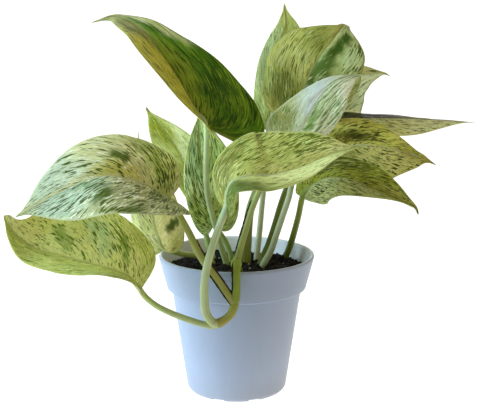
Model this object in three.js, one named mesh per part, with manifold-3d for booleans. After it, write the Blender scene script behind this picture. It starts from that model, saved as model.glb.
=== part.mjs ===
// A snow queen pothos in a plastic nursery pot: fourteen variegated leaves on long stalks,
// a short trailing stem that hangs over the rim, potting soil and the pot.
// Units are millimetres and +Z is up. The origin is the centre of the pot's foot.

import * as THREE from "three";
import { mergeVertices } from "three/addons/utils/BufferGeometryUtils.js";
import Module from "manifold-3d";

const wasm = await Module();
wasm.setup();

// Pot
const POT_HEIGHT = 95;
const RIM_RADIUS = 52.5;
const BAND_HEIGHT = 22.5;
const BAND_FOOT_RADIUS = 47.2;
const WAIST_RADIUS = 43.8;
const BAND_STEP = 1.4; // the height of the slope from the body out to the band
const FOOT_RING_RADIUS = 29.5;
const FOOT_RING_WIDTH = 1.8;
const FOOT_RING_HEIGHT = 2.6;
const FOOT_BOSS_RADIUS = 10;
const FOOT_BOSS_SLOPE = 1;
const WALL = 1.4;
const LIP = 2.2;
const POT_SIDES = 40;
const FOOT_NOTCHES = 8;
const NOTCH_WIDTH = 9;
const NOTCH_LENGTH = 6.8;
const NOTCH_HEIGHT = 1.8;
const DRAIN_HOLES = 6;
const DRAIN_RADIUS = 3;
const DRAIN_DEPTH = 8;
const DRAIN_SIDES = 12;
const DRAIN_CIRCLE = 19;
// The rounded heel between the foot ring and the straight wall, outside and inside: radius, height
const HEEL = [[32.2, 1.2], [33.6, 3.4], [34.7, 7.5]];
const INNER_HEEL = [[31.2, 6], [33.3, 9]];
// The rounded edge of the rim from outside: in from the rim's radius, down from its top
const RIM_EDGE = [[1.4, 3.4], [0, 2.2], [0.3, 0.4], [1.1, 0]];

// Soil
const SOIL_TOP = 86;
const SOIL_GAP = 0.3;
const SOIL_DROP = 3; // how far the soil falls from its middle to the wall
const SOIL_DROP_POWER = 4;
const SOIL_BUMP = 0.8;
const SOIL_WAVES = [[17.8, 29], [12.9, 118], [24, 70]]; // each wave's length and heading in degrees
const SOIL_CALM = 0.9; // the share of the radius inside which the soil is lumpy
const SOIL_SIDES = 32;
const SOIL_RINGS = 6;
const ROOT_DEPTH = 12;
const HOLE_GAP = 0.3;

// Trailing stem: over the rim, down the front of the pot and round to its end
const STEM_PATH = [[3, -12, 70], [2, -18, 85], [1, -30, 92], [0, -42, 98], [0, -52, 99.5], [0, -58, 96],
  [0, -60, 87], [-1, -60, 78], [-3, -61, 71], [-8, -61, 66], [-14, -61, 63]];
const STEM_RADIUS = 2.6;
const STEM_NODES = [[0.48, 1.1], [0.78, 0.5], [1, 0.7]]; // share of the way along, swelling
const NODE_SPREAD = 0.06;
const STEM_STEPS = 30;
const STEM_SIDES = 8;

// Leaves
const BLADE_THICKNESS = 0.8;
const LEAST_BEND = 0.1; // degrees, for a half that is not bent
const LEAST_TAPER = 0.01;
const WAVE_LAG = 1 / 3; // how far the right half's wave runs ahead of the left half's
const STALK_SIDES = 6;
const STALK_EXTRA_STEPS = 3;
const RIB_SIDES = 5;
const RIB_REACH = 0.8;
const RIB_SHARE = 0.8; // the midrib's radius at the stalk as a share of the stalk's
const RIB_END_RADIUS = 0.5;
const EDGE_STEPS = 13;
const VEIN_STEPS = 3;

// The edge of one half blade, from the notch at the stalk round the lobe to the drip tip:
// distance along the midrib, and out from it, as shares of the length and the half width.
// A leaf's lobe value blends an oval base (0) with a heart-shaped one (1).
const HEART_EDGE = [
  [0, 0],
  [-0.045, 0.13],
  [-0.1, 0.36],
  [-0.095, 0.62],
  [-0.01, 0.86],
  [0.13, 0.985],
  [0.29, 1],
  [0.46, 0.89],
  [0.62, 0.67],
  [0.755, 0.4],
  [0.86, 0.17],
  [0.93, 0.05],
  [1, 0],
];
const OVAL_EDGE = [
  [0, 0],
  [-0.005, 0.13],
  [0, 0.36],
  [0.035, 0.62],
  [0.1, 0.84],
  [0.2, 0.965],
  [0.33, 1],
  [0.48, 0.91],
  [0.63, 0.69],
  [0.76, 0.42],
  [0.86, 0.18],
  [0.93, 0.05],
  [1, 0],
];
const VEIN_START = 0.2; // the share of the edge whose veins all rise at the stalk
const VEIN_CROWDING = 1.8; // how much the veins crowd towards the stalk
const VEIN_SWEEP = 1.5; // how far the veins run out before they turn along the blade
const MERGE_REACH = 1e-4;

// Colours and how rough each surface is
const POT_LOOK = [0xe6ebf0, 0.45];
const SOIL_LOOK = [0x2a211b, 0.95];
const STEM_LOOK = [0x8a9c2c, 0.5];
const LEAF_ROUGHNESS = 0.45;

// Each leaf: whether its stalk is rooted in the soil or grows from the trailing stem, the
// path of its stalk and of its midrib, and the way its upper face looks at
// the stalk and at the tip. Pairs are for its left and right halves: the width, the angle
// by which the half folds up from the midrib at the stalk and at the tip, the angle that
// it bends through on its way out, its lobe, and how much slimmer it gets towards the tip.
// A wave is the margin's rise and fall, its count along the blade and where it starts.
// Last come the stalk's radius at its foot and at the blade, and the leaf's mean colour.
const LEAVES = [
  {
    name: "leaf_front",
    stalk: [[-15, -62, 65], [-19, -65, 72], [-20, -67, 81], [-20, -68, 91], [-18, -68, 104],
      [-15, -68, 115], [-11, -66, 127], [-6, -62, 137]],
    rib: [[-6, -62, 137], [-6, -65, 148], [-2, -67, 157], [9, -66, 160], [22, -63, 160], [40, -58, 164],
      [59, -52, 171], [77, -47, 175]],
    face: [-0.3, -0.85, 0.2], tipFace: [-0.1, -0.85, 0.5],
    width: [31.5, 12], fold: [-34, 45], tipFold: [15, 40], bend: [-25, -10], lobe: [-0.8, 0.2],
    slim: [-0.3, -0.45],
    wave: [1.2, 2, 0.3], radius: [2.9, 2.2], colour: 0xa9bb55,
  },
  {
    name: "leaf_marbled_left",
    stalk: [[0, -60, 75], [-5, -60, 82], [-11, -60, 91], [-18, -60, 101], [-24, -58, 110],
      [-30, -55, 122], [-37, -52, 134], [-42, -50, 143]],
    rib: [[-42, -50, 143], [-53, -54, 150], [-65, -58, 156], [-78, -61, 159], [-92, -63, 157],
      [-108, -65, 150], [-123, -66, 142], [-137, -66, 134]],
    face: [-0.2, -0.75, 0.65], tipFace: [-0.1, -0.75, 0.65],
    width: [42, 37], fold: [60, 0], tipFold: [-10, 0], bend: [-10, -30], lobe: [0.8, 0.4],
    slim: [-0.1, -0.15],
    wave: [1.4, 1.8, 0.1], radius: [2.6, 1.9], colour: 0xc9cfae,
  },
  {
    name: "leaf_low_left",
    stalk: [[-15, -60, 62], [-23, -61, 64], [-31, -62, 67], [-41, -62, 71], [-50, -60, 75],
      [-56, -58, 79], [-59, -57, 82], [-61, -56, 85]],
    rib: [[-61, -56, 85], [-68, -59, 94], [-80, -61, 100], [-94, -62, 104], [-110, -63, 109],
      [-126, -64, 114], [-138, -65, 124], [-144, -66, 135]],
    face: [0.1, -0.85, 0.5], tipFace: [-0.1, -0.85, 0.5],
    width: [30, 31], fold: [76, 0], tipFold: [40, 0], bend: [0, -10], lobe: [0, -0.2],
    slim: [-0.3, -0.6],
    wave: [1.2, 2, 0.6], radius: [2.2, 1.8], colour: 0xb2bf4c,
  },
  {
    name: "leaf_under_left", rooted: true,
    stalk: [[-16, 5, 86], [-25, -2, 93], [-37, -10, 97], [-49, -16, 101]],
    rib: [[-49, -16, 101], [-53, -23, 119], [-57, -26, 139], [-63, -22, 159], [-64, -14, 180]],
    face: [-0.1, -0.95, 0.2], tipFace: [-0.1, -0.95, 0.2],
    width: [15, 19], fold: [10, 20], tipFold: [10, 10], bend: [-20, -20], lobe: [0.3, 0.3],
    slim: [0, 0],
    wave: [1, 1.6, 0.2], radius: [2.2, 1.8], colour: 0xb4c58a,
  },
  {
    name: "leaf_back_left", rooted: true,
    stalk: [[-15, 12, 84], [-19, 11, 97], [-22, 12, 110], [-25, 16, 125]],
    rib: [[-25, 16, 125], [-31, 18, 142], [-38, 22, 157], [-47, 27, 172], [-55, 31, 182],
      [-60, 34, 187], [-62, 35, 190]],
    face: [0.2, -0.9, 0.3], tipFace: [0.1, -0.9, 0.3],
    width: [12, 20], fold: [50, 10], tipFold: [10, 10], bend: [-10, -10], lobe: [0.3, 0.6],
    slim: [-0.6, 0.2],
    wave: [1.6, 2.2, 0.5], radius: [2.2, 1.8], colour: 0xa8bb5e,
  },
  {
    name: "leaf_inner_left", rooted: true,
    stalk: [[-3, 6, 86], [-5, 7, 95], [-9, 7, 104], [-16, 6, 112]],
    rib: [[-16, 6, 112], [-20, 7, 133], [-23, 8, 154], [-25, 11, 173], [-25, 16, 192]],
    face: [0.1, -0.95, 0.2], tipFace: [0.1, -0.95, 0.2],
    width: [14, 20], fold: [10, 10], tipFold: [10, 10], bend: [-10, -10], lobe: [0.6, 0.6],
    slim: [-0.1, -0.3],
    wave: [1, 2, 0.8], radius: [2.0, 1.6], colour: 0x5f8a4a,
  },
  {
    name: "leaf_upper_left", rooted: true,
    stalk: [[-7, 2, 87], [-11, 0, 101], [-14, -2, 114], [-18, -4, 129], [-20, -6, 143], [-20, -7, 160],
      [-18, -8, 181]],
    rib: [[-18, -8, 181], [-27, -4, 193], [-37, 3, 210], [-49, 11, 227], [-61, 19, 242], [-75, 26, 250],
      [-85, 29, 252], [-98, 28, 248]],
    face: [0.3, -0.8, 0.6], tipFace: [0.3, -0.8, 0.6],
    width: [34, 41], fold: [60, 10], tipFold: [20, 40], bend: [0, -15], lobe: [1, 2],
    slim: [-0.15, 0.75],
    wave: [1, 1.6, 0.4], radius: [2.2, 1.7], colour: 0x557a22,
  },
  {
    name: "leaf_pale_centre",
    stalk: [[0, -46, 98], [1, -44, 104], [3, -40, 111], [6, -34, 120], [10, -29, 132], [17, -22, 146],
      [26, -14, 157], [35, -8, 169]],
    rib: [[35, -8, 169], [42, -13, 180], [48, -15, 192], [54, -16, 203], [62, -15, 212], [72, -12, 216],
      [82, -8, 217]],
    face: [0.1, -0.8, 0.55], tipFace: [0.2, -0.8, 0.55],
    width: [27, 14], fold: [0, 10], tipFold: [0, 10], bend: [-20, -20], lobe: [1, -0.2],
    slim: [0.9, -0.6],
    wave: [1, 1.7, 0], radius: [2.2, 1.7], colour: 0xcfd8c0,
  },
  {
    name: "leaf_top_centre", rooted: true,
    stalk: [[6, 6, 86], [7, 7, 102], [9, 8, 122], [15, 10, 140], [23, 12, 160], [36, 12, 181]],
    rib: [[36, 12, 181], [40, 10, 196], [46, 8, 209], [50, 8, 218], [56, 9, 228], [63, 13, 236],
      [69, 20, 243], [73, 27, 247]],
    face: [-0.1, -0.9, 0.3], tipFace: [0.1, -0.7, 0.6],
    width: [25.5, 23], fold: [0, 10], tipFold: [0, 10], bend: [-20, -20], lobe: [-0.2, 0],
    slim: [-0.52, -0.7],
    wave: [1, 1.5, 0.7], radius: [3.2, 1.7], colour: 0x8f9f45,
  },
  {
    name: "leaf_top_back", rooted: true,
    stalk: [[14, 16, 88], [16, 22, 106], [18, 28, 126], [21, 33, 150], [22, 36, 174]],
    rib: [[22, 36, 174], [27, 35, 198], [32, 35, 221], [35, 39, 241], [34, 44, 253], [33, 48, 260]],
    face: [-0.2, -0.9, 0.1], tipFace: [-0.2, -0.9, 0.2],
    width: [14, 21], fold: [10, 10], tipFold: [10, 10], bend: [-20, -20], lobe: [0, 0.3],
    slim: [-0.45, -0.1],
    wave: [1, 1.8, 0.3], radius: [2.2, 1.7], colour: 0xa6b560,
  },
  {
    name: "leaf_back_right", rooted: true,
    stalk: [[18, 24, 86], [25, 32, 100], [30, 41, 116], [36, 50, 132], [41, 58, 145], [45, 62, 159]],
    rib: [[45, 62, 159], [56, 61, 180], [70, 59, 197], [81, 58, 206], [90, 57, 210], [98, 57, 211],
      [104, 57, 211], [108, 58, 209]],
    face: [0.3, -0.95, 0.1], tipFace: [0.2, -0.8, 0.5],
    width: [20, 25], fold: [20, 20], tipFold: [20, 20], bend: [-10, -10], lobe: [1, 0.3],
    slim: [0, -0.2],
    wave: [1, 2, 0.5], radius: [2.0, 1.6], colour: 0xaab46a,
  },
  {
    name: "leaf_long_right", rooted: true,
    stalk: [[15, 2, 84], [21, 8, 97], [26, 14, 111], [30, 18, 124], [35, 23, 137], [44, 30, 154],
      [56, 34, 168]],
    rib: [[56, 34, 168], [67, 32, 178], [79, 30, 182], [95, 29, 183], [111, 28, 183], [133, 29, 182],
      [150, 31, 181], [165, 36, 179]],
    face: [0, -0.2, 1], tipFace: [0, -0.4, 0.9],
    width: [22, 24], fold: [8, -5], tipFold: [-35, -10], bend: [-10, -10], lobe: [1, 1], slim: [0.4, 0],
    wave: [1.4, 2.2, 0], radius: [2.2, 1.7], colour: 0x93a04a,
  },
  {
    name: "leaf_middle_right", rooted: true,
    stalk: [[17, -3, 85], [23, -3, 97], [27, -3, 109], [31, -2, 121], [35, -1, 133], [38, 0, 145],
      [44, -5, 160]],
    rib: [[44, -5, 160], [56, -9, 166], [71, -12, 170], [87, -14, 171], [105, -14, 168],
      [117, -12, 164], [124, -11, 162], [132, -9, 157]],
    face: [0, -0.7, 0.7], tipFace: [0.2, -0.75, 0.65],
    width: [28, 28], fold: [0, -32], tipFold: [0, 0], bend: [-15, -10], lobe: [0.2, 0.5],
    slim: [0.25, -0.2],
    wave: [1.3, 2, 0.2], radius: [2.4, 1.8], colour: 0x8f8f3a,
  },
  {
    name: "leaf_low_right", rooted: true,
    stalk: [[32, 22, 82], [36, 18, 93], [39, 12, 105], [42, 5, 120], [43, -4, 135]],
    rib: [[43, -4, 135], [50, -16, 145], [59, -24, 151], [70, -30, 152], [83, -34, 148], [95, -36, 143],
      [106, -37, 138], [114, -37, 134], [117, -36, 129]],
    face: [0, -0.8, 0.6], tipFace: [0.3, -0.8, 0.5],
    width: [12, 16], fold: [25, -40], tipFold: [25, 72], bend: [-15, -10], lobe: [0.3, -0.3],
    slim: [-0.5, 0],
    wave: [1.2, 2, 0.9], radius: [2.4, 1.9], colour: 0x93a052,
  },
];

const vector = (p) => new THREE.Vector3(...p);
const route = (points) => new THREE.CatmullRomCurve3(points.map(vector), false, "catmullrom", 0.5);

// A closed three.js geometry as a solid for joining and cutting.
function solid(geometry) {
  const bare = new THREE.BufferGeometry();
  bare.setAttribute("position", geometry.getAttribute("position"));
  bare.setIndex(geometry.index);
  const merged = mergeVertices(bare, MERGE_REACH);
  return new wasm.Manifold(
    new wasm.Mesh({
      numProp: 3,
      vertProperties: new Float32Array(merged.getAttribute("position").array),
      triVerts: new Uint32Array(merged.index.array),
    }),
  );
}

// A solid back as a three.js geometry.
function geometryOf(body) {
  const mesh = body.getMesh();
  const geometry = new THREE.BufferGeometry();
  geometry.setAttribute("position", new THREE.BufferAttribute(mesh.vertProperties, 3));
  geometry.setIndex(new THREE.BufferAttribute(mesh.triVerts, 1));
  geometry.computeVertexNormals();
  return geometry;
}

function indexed(vertices, faces) {
  const geometry = new THREE.BufferGeometry();
  const numbers = vertices.flatMap((v) => v.toArray());
  geometry.setAttribute("position", new THREE.Float32BufferAttribute(numbers, 3));
  geometry.setIndex(faces.flat());
  return geometry;
}

// The largest of the bodies that a cut leaves.
function largest(body) {
  return body.decompose().reduce((a, b) => (a.volume() > b.volume() ? a : b));
}

// A closed tube of round section along a path, whose radius is a function of the share
// of the way along. Its frames turn no more than the path does.
function tube(path, radiusAt, steps, sides) {
  const frames = path.computeFrenetFrames(steps, false);
  const vertices = [];
  const faces = [];
  for (let i = 0; i <= steps; i++) {
    const centre = path.getPointAt(i / steps);
    for (let j = 0; j < sides; j++) {
      const turn = (2 * Math.PI * j) / sides;
      const out = frames.normals[i].clone().multiplyScalar(Math.cos(turn));
      out.addScaledVector(frames.binormals[i], Math.sin(turn));
      vertices.push(centre.clone().addScaledVector(out, radiusAt(i / steps)));
    }
  }
  const at = (i, j) => i * sides + (j % sides);
  for (let i = 0; i < steps; i++)
    for (let j = 0; j < sides; j++) {
      faces.push([at(i, j), at(i, j + 1), at(i + 1, j)]);
      faces.push([at(i, j + 1), at(i + 1, j + 1), at(i + 1, j)]);
    }
  for (let j = 1; j < sides - 1; j++) {
    faces.push([at(0, 0), at(0, j + 1), at(0, j)]);
    faces.push([at(steps, 0), at(steps, j), at(steps, j + 1)]);
  }
  return solid(indexed(vertices, faces));
}

// Where a point of the flat blade lies in space. u runs along the midrib and v out from it,
// with left negative. Behind the stalk the midrib goes on straight.
function placer(leaf) {
  const midrib = route(leaf.rib);
  const length = midrib.getLength();
  const radians = THREE.MathUtils.degToRad;
  const face = vector(leaf.face);
  const tipFace = vector(leaf.tipFace);
  return {
    length,
    midrib,
    place(u, v) {
      const share = THREE.MathUtils.clamp(u / length, 0, 1);
      const along = midrib.getTangentAt(share);
      const centre = midrib.getPointAt(share);
      if (u < 0) centre.addScaledVector(along, u);
      const up = face.clone().lerp(tipFace, share);
      up.addScaledVector(along, -up.dot(along)).normalize();
      const right = along.clone().cross(up);
      const side = v < 0 ? 0 : 1;
      const fold = radians(leaf.fold[side] + (leaf.tipFold[side] - leaf.fold[side]) * share);
      const bend = radians(leaf.bend[side] || LEAST_BEND) / leaf.width[side];
      const out = Math.abs(v);
      const across = (Math.sin(fold + bend * out) - Math.sin(fold)) / bend;
      const rise = (Math.cos(fold) - Math.cos(fold + bend * out)) / bend;
      const [height, count, start] = leaf.wave;
      const phase = 2 * Math.PI * (count * share + start + side * WAVE_LAG);
      const ripple = height * (out / leaf.width[side]) ** 2 * Math.sin(phase);
      centre.addScaledVector(right, Math.sign(v) * across);
      return centre.addScaledVector(up, rise + ripple);
    },
  };
}

// The edge of one half of a leaf as a function of the share of the way round it.
function edgeOf(leaf, side) {
  const lobe = leaf.lobe[side];
  const points = HEART_EDGE.map(([u, v], i) => {
    const [ovalU, ovalV] = OVAL_EDGE[i];
    return new THREE.Vector3(ovalU + (u - ovalU) * lobe, ovalV + (v - ovalV) * lobe, 0);
  });
  const curve = new THREE.CatmullRomCurve3(points, false, "catmullrom", 0.5);
  return (share) => {
    const point = curve.getPoint(share);
    const taper = THREE.MathUtils.clamp(1 - point.x, LEAST_TAPER, 1) ** leaf.slim[side];
    point.y *= leaf.width[side] * taper;
    return point;
  };
}

// The blade's middle surface as one sheet of points, each half laid out along its veins.
function sheet(leaf) {
  const { length, place } = placer(leaf);
  const points = [];
  const faces = [];
  const seen = new Map();
  const add = (u, v) => {
    const key = u.toFixed(3) + "," + v.toFixed(3);
    if (!seen.has(key)) {
      seen.set(key, points.length);
      points.push(place(u, v));
    }
    return seen.get(key);
  };
  for (const side of [-1, 1]) {
    const edge = edgeOf(leaf, side < 0 ? 0 : 1);
    const rows = [];
    for (let i = 0; i <= EDGE_STEPS; i++) {
      const share = i / EDGE_STEPS;
      const end = edge(share);
      const start = Math.max(0, (share - VEIN_START) / (1 - VEIN_START)) ** VEIN_CROWDING;
      const row = [];
      for (let j = 0; j <= VEIN_STEPS; j++) {
        const out = j / VEIN_STEPS;
        const u = start + (end.x - start) * out ** VEIN_SWEEP;
        row.push(add(u * length, side * end.y * out));
      }
      rows.push(row);
    }
    for (let i = 0; i < EDGE_STEPS; i++)
      for (let j = 0; j < VEIN_STEPS; j++) {
        const corners = [rows[i][j], rows[i + 1][j], rows[i + 1][j + 1], rows[i][j + 1]];
        const halves = [[corners[0], corners[1], corners[2]], [corners[0], corners[2], corners[3]]];
        for (const [a, b, c] of halves)
          if (a !== b && b !== c && a !== c) faces.push(side < 0 ? [a, b, c] : [a, c, b]);
      }
  }
  return { points, faces };
}

// The sheet given its thickness, split alike on both faces.
function blade(leaf) {
  const { points, faces } = sheet(leaf);
  const middle = indexed(points, faces);
  middle.computeVertexNormals();
  const normals = middle.getAttribute("normal");
  const count = points.length;
  const shifted = (half) =>
    points.map((p, i) => {
      const normal = new THREE.Vector3().fromBufferAttribute(normals, i);
      return p.clone().addScaledVector(normal, half);
    });
  const vertices = [...shifted(BLADE_THICKNESS / 2), ...shifted(-BLADE_THICKNESS / 2)];
  const all = faces.concat(faces.map(([a, b, c]) => [a + count, c + count, b + count]));
  const edges = new Set(faces.flatMap(([a, b, c]) => [a + "," + b, b + "," + c, c + "," + a]));
  for (const edge of edges) {
    const [a, b] = edge.split(",").map(Number);
    if (edges.has(b + "," + a)) continue;
    all.push([b, a, a + count], [b, a + count, b + count]);
  }
  return solid(indexed(vertices, all));
}

// The stalk from its root to the blade.
function stalk(leaf, extra = 0) {
  const [x, y] = leaf.stalk[0];
  const points = leaf.rooted ? [[x, y, SOIL_TOP - ROOT_DEPTH - extra], ...leaf.stalk] : leaf.stalk;
  const path = route(points);
  const steps = leaf.stalk.length + STALK_EXTRA_STEPS;
  const [root, top] = leaf.radius;
  return tube(path, (share) => root + (top - root) * share + extra, steps, STALK_SIDES);
}

// The midrib, raised under the blade and running out before the tip.
function ridge(leaf) {
  const { length, place, midrib } = placer(leaf);
  const reach = RIB_REACH * length;
  const count = leaf.rib.length;
  const root = leaf.radius[1] * RIB_SHARE;
  const radiusAt = (share) => root + (RIB_END_RADIUS - root) * share;
  const points = [];
  for (let i = 0; i <= count; i++) {
    const u = (reach * i) / count;
    const centre = midrib.getPointAt(u / length);
    const left = place(u, -1);
    const right = place(u, 1);
    const along = midrib.getTangentAt(u / length);
    const down = left.sub(right).cross(along).normalize();
    const sunk = BLADE_THICKNESS / 2 - radiusAt(i / count);
    points.push(centre.addScaledVector(down, sunk).toArray());
  }
  return tube(route(points), radiusAt, count, RIB_SIDES);
}

function leafSolid(leaf) {
  return largest(blade(leaf).add(stalk(leaf)).add(ridge(leaf)));
}

// The trailing stem, swollen at its nodes.
function stem(extra = 0) {
  const radiusAt = (share) => {
    let radius = STEM_RADIUS + extra;
    for (const [at, swelling] of STEM_NODES) {
      radius += swelling * Math.exp(-(((share - at) / NODE_SPREAD) ** 2));
    }
    return radius;
  };
  return tube(route(STEM_PATH), radiusAt, STEM_STEPS, STEM_SIDES);
}

// A solid of revolution about Z from its outline, given as distance from the axis and height.
function turned(outline, sides) {
  const points = outline.map(([r, z]) => new THREE.Vector2(r, z));
  return new THREE.LatheGeometry(points, sides).rotateX(Math.PI / 2);
}

// The inside of the pot from the axis of its floor to the top of its lip, drawn in by a gap.
function potInside(gap) {
  const floor = FOOT_RING_HEIGHT + WALL + gap;
  const bandFoot = POT_HEIGHT - BAND_HEIGHT;
  return [
    [0, floor],
    [FOOT_RING_RADIUS - WALL - gap, floor],
    ...INNER_HEEL.map(([r, z]) => [r - gap, z + gap]),
    [WAIST_RADIUS - WALL - gap, bandFoot + gap],
    [BAND_FOOT_RADIUS - WALL - gap, bandFoot + WALL + gap],
    [RIM_RADIUS - LIP - gap, POT_HEIGHT - LIP],
  ];
}

function pot() {
  const bandFoot = POT_HEIGHT - BAND_HEIGHT;
  const outline = [
    [0, 0],
    [FOOT_BOSS_RADIUS, 0],
    [FOOT_BOSS_RADIUS + FOOT_BOSS_SLOPE, FOOT_RING_HEIGHT],
    [FOOT_RING_RADIUS - FOOT_RING_WIDTH, FOOT_RING_HEIGHT],
    [FOOT_RING_RADIUS - FOOT_RING_WIDTH, 0],
    [FOOT_RING_RADIUS, 0],
    ...HEEL,
    [WAIST_RADIUS, bandFoot - BAND_STEP],
    [BAND_FOOT_RADIUS, bandFoot],
    ...RIM_EDGE.map(([inward, down]) => [RIM_RADIUS - inward, POT_HEIGHT - down]),
    ...potInside(0).reverse(),
  ];
  let body = solid(turned(outline, POT_SIDES));
  for (let i = 0; i < FOOT_NOTCHES; i++) {
    const notch = new THREE.BoxGeometry(NOTCH_LENGTH, NOTCH_WIDTH, NOTCH_HEIGHT * 2);
    notch.translate(FOOT_RING_RADIUS, 0, 0).rotateZ((2 * Math.PI * (i + 0.5)) / FOOT_NOTCHES);
    body = body.subtract(solid(notch));
  }
  for (let i = 0; i < DRAIN_HOLES; i++) {
    const hole = new THREE.CylinderGeometry(DRAIN_RADIUS, DRAIN_RADIUS, DRAIN_DEPTH, DRAIN_SIDES);
    hole.rotateX(Math.PI / 2).translate(DRAIN_CIRCLE, 0, FOOT_RING_HEIGHT);
    hole.rotateZ((2 * Math.PI * i) / DRAIN_HOLES);
    body = body.subtract(solid(hole));
  }
  return body;
}

// The height of the soil's lumps over a point.
function lumps(x, y) {
  let height = 0;
  for (const [length, heading] of SOIL_WAVES) {
    const turn = THREE.MathUtils.degToRad(heading);
    height += SOIL_BUMP * Math.sin((2 * Math.PI * (x * Math.cos(turn) + y * Math.sin(turn))) / length);
  }
  return height;
}

function soil() {
  const wall = potInside(SOIL_GAP);
  const [innerRadius, innerHeight] = wall[wall.length - 2];
  const [outerRadius, outerHeight] = wall[wall.length - 1];
  const climb = (SOIL_TOP - SOIL_DROP - innerHeight) / (outerHeight - innerHeight);
  const edge = innerRadius + (outerRadius - innerRadius) * climb;
  const outline = wall.slice(0, -1);
  for (let i = SOIL_RINGS; i >= 0; i--) {
    const share = i / SOIL_RINGS;
    outline.push([edge * share, SOIL_TOP - SOIL_DROP * share ** SOIL_DROP_POWER]);
  }
  const geometry = turned(outline, SOIL_SIDES);
  const place = geometry.getAttribute("position");
  for (let i = 0; i < place.count; i++) {
    const r = Math.hypot(place.getX(i), place.getY(i));
    if (place.getZ(i) < SOIL_TOP - SOIL_DROP || r > edge * SOIL_CALM) continue;
    place.setZ(i, place.getZ(i) + lumps(place.getX(i), place.getY(i)));
  }
  let body = solid(geometry);
  for (const leaf of LEAVES) if (leaf.rooted) body = body.subtract(stalk(leaf, HOLE_GAP));
  return body.subtract(stem(HOLE_GAP));
}

const plant = new THREE.Group();

function show(name, body, [colour, roughness]) {
  const material = new THREE.MeshStandardMaterial({ color: colour, roughness, metalness: 0 });
  const mesh = new THREE.Mesh(geometryOf(body), material);
  mesh.name = name;
  plant.add(mesh);
}

show("pot", pot(), POT_LOOK);
show("soil", soil(), SOIL_LOOK);
show("stem_front", stem(), STEM_LOOK);
const stemSpace = [stem(HOLE_GAP)]; // what a leaf grown from the trailing stem must leave free
for (const leaf of LEAVES) {
  let body = leafSolid(leaf);
  if (!leaf.rooted) {
    for (const space of stemSpace) body = largest(body.subtract(space));
    stemSpace.push(stalk(leaf, HOLE_GAP));
  }
  show(leaf.name, body, [leaf.colour, LEAF_ROUGHNESS]);
}

export default plant;
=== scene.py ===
import math

import bmesh
import bpy
import numpy as np
from bpy.props import FloatProperty, FloatVectorProperty, IntProperty, PointerProperty
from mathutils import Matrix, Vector


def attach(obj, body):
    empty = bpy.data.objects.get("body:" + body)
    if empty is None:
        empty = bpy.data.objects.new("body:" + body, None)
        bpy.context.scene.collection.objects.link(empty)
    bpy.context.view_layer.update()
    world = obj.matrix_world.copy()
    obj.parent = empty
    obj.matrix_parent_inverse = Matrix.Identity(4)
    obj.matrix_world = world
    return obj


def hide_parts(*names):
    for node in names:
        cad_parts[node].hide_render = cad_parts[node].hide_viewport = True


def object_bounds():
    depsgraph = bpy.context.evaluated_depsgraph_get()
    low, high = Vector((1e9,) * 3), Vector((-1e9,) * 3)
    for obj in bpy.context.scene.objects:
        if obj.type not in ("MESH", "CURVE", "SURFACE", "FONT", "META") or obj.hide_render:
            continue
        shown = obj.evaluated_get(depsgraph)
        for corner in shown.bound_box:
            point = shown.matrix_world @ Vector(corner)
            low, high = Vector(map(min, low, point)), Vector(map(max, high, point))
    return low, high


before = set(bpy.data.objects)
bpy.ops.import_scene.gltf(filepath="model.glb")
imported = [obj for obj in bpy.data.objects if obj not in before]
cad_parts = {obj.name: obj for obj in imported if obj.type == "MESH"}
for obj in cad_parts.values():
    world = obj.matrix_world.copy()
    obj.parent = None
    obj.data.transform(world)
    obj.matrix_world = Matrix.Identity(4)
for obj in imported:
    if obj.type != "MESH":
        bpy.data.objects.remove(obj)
CAD_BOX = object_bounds()

bl_info = {
    "name": "Potted snow queen pothos",
    "version": (1, 0, 0),
    "blender": (4, 5, 0),
    "location": "View3D > Sidebar > Pothos",
    "description": "Marbled leaves, stalks, stem, potting soil and nursery pot, with a studio round them",
    "category": "Add Mesh",
}

MM = 0.001
LEFT, RIGHT = 0, 1

# Pot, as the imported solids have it, in millimetres
POT_HEIGHT = 95
RIM_RADIUS = 52.5
BAND_FOOT_RADIUS = 47.2
BAND_FOOT = 72.5
BAND_STEP = 1.4
WAIST_RADIUS = 43.8
FOOT_RING_RADIUS = 29.5
FOOT_RING_WIDTH = 1.8
FOOT_RING_HEIGHT = 2.6
FOOT_BOSS_RADIUS = 10
WALL = 1.4
LIP = 2.2
FOOT_NOTCHES = 8
NOTCH_SIZE = (6.8, 9, 3.6)
DRAIN_HOLES = 6
DRAIN_RADIUS = 3
DRAIN_DEPTH = 8
DRAIN_CIRCLE = 19
# The rounded heel inside, as radius and height, and the rounding radii outside
INNER_HEEL = ((31.2, 6), (33.3, 9))
HEEL_ROUND = 4.6
BAND_ROUND = 0.6
RIM_ROUND = 1.1
FOOT_ROUND = 0.3
# The height from which the inner face is painted lighter than the outside, as painted light
LIT_INSIDE_FROM = 60
# Edges that turn by more degrees than this are drawn sharp
SHARP_ANGLE = 38

# Soil: it drops towards the wall, and waves, a heap and a ripple lie on it, calm near the wall.
# Each wave has its length and its heading in degrees.
SOIL_TOP = 86
SOIL_EDGE_RADIUS = 48.4
SOIL_DROP = 3
SOIL_DROP_POWER = 4
SOIL_WAVES = ((17.8, 29), (12.9, 118), (24, 70))
SOIL_WAVE_HEIGHT = 0.8
SOIL_CALM_SLOPE = 8
SOIL_HEAP_MIDDLE = (-32, 8)
SOIL_HEAP_REACH = (13, 16)
SOIL_HEAP_HEIGHT = 1.6
SOIL_RIPPLE_HEIGHT = 0.5
SOIL_GAP = 0.3
SOIL_TONE = 0.25
CLEAR_OF_WALL = 2.2
ROOT_DEPTH = 12

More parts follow.
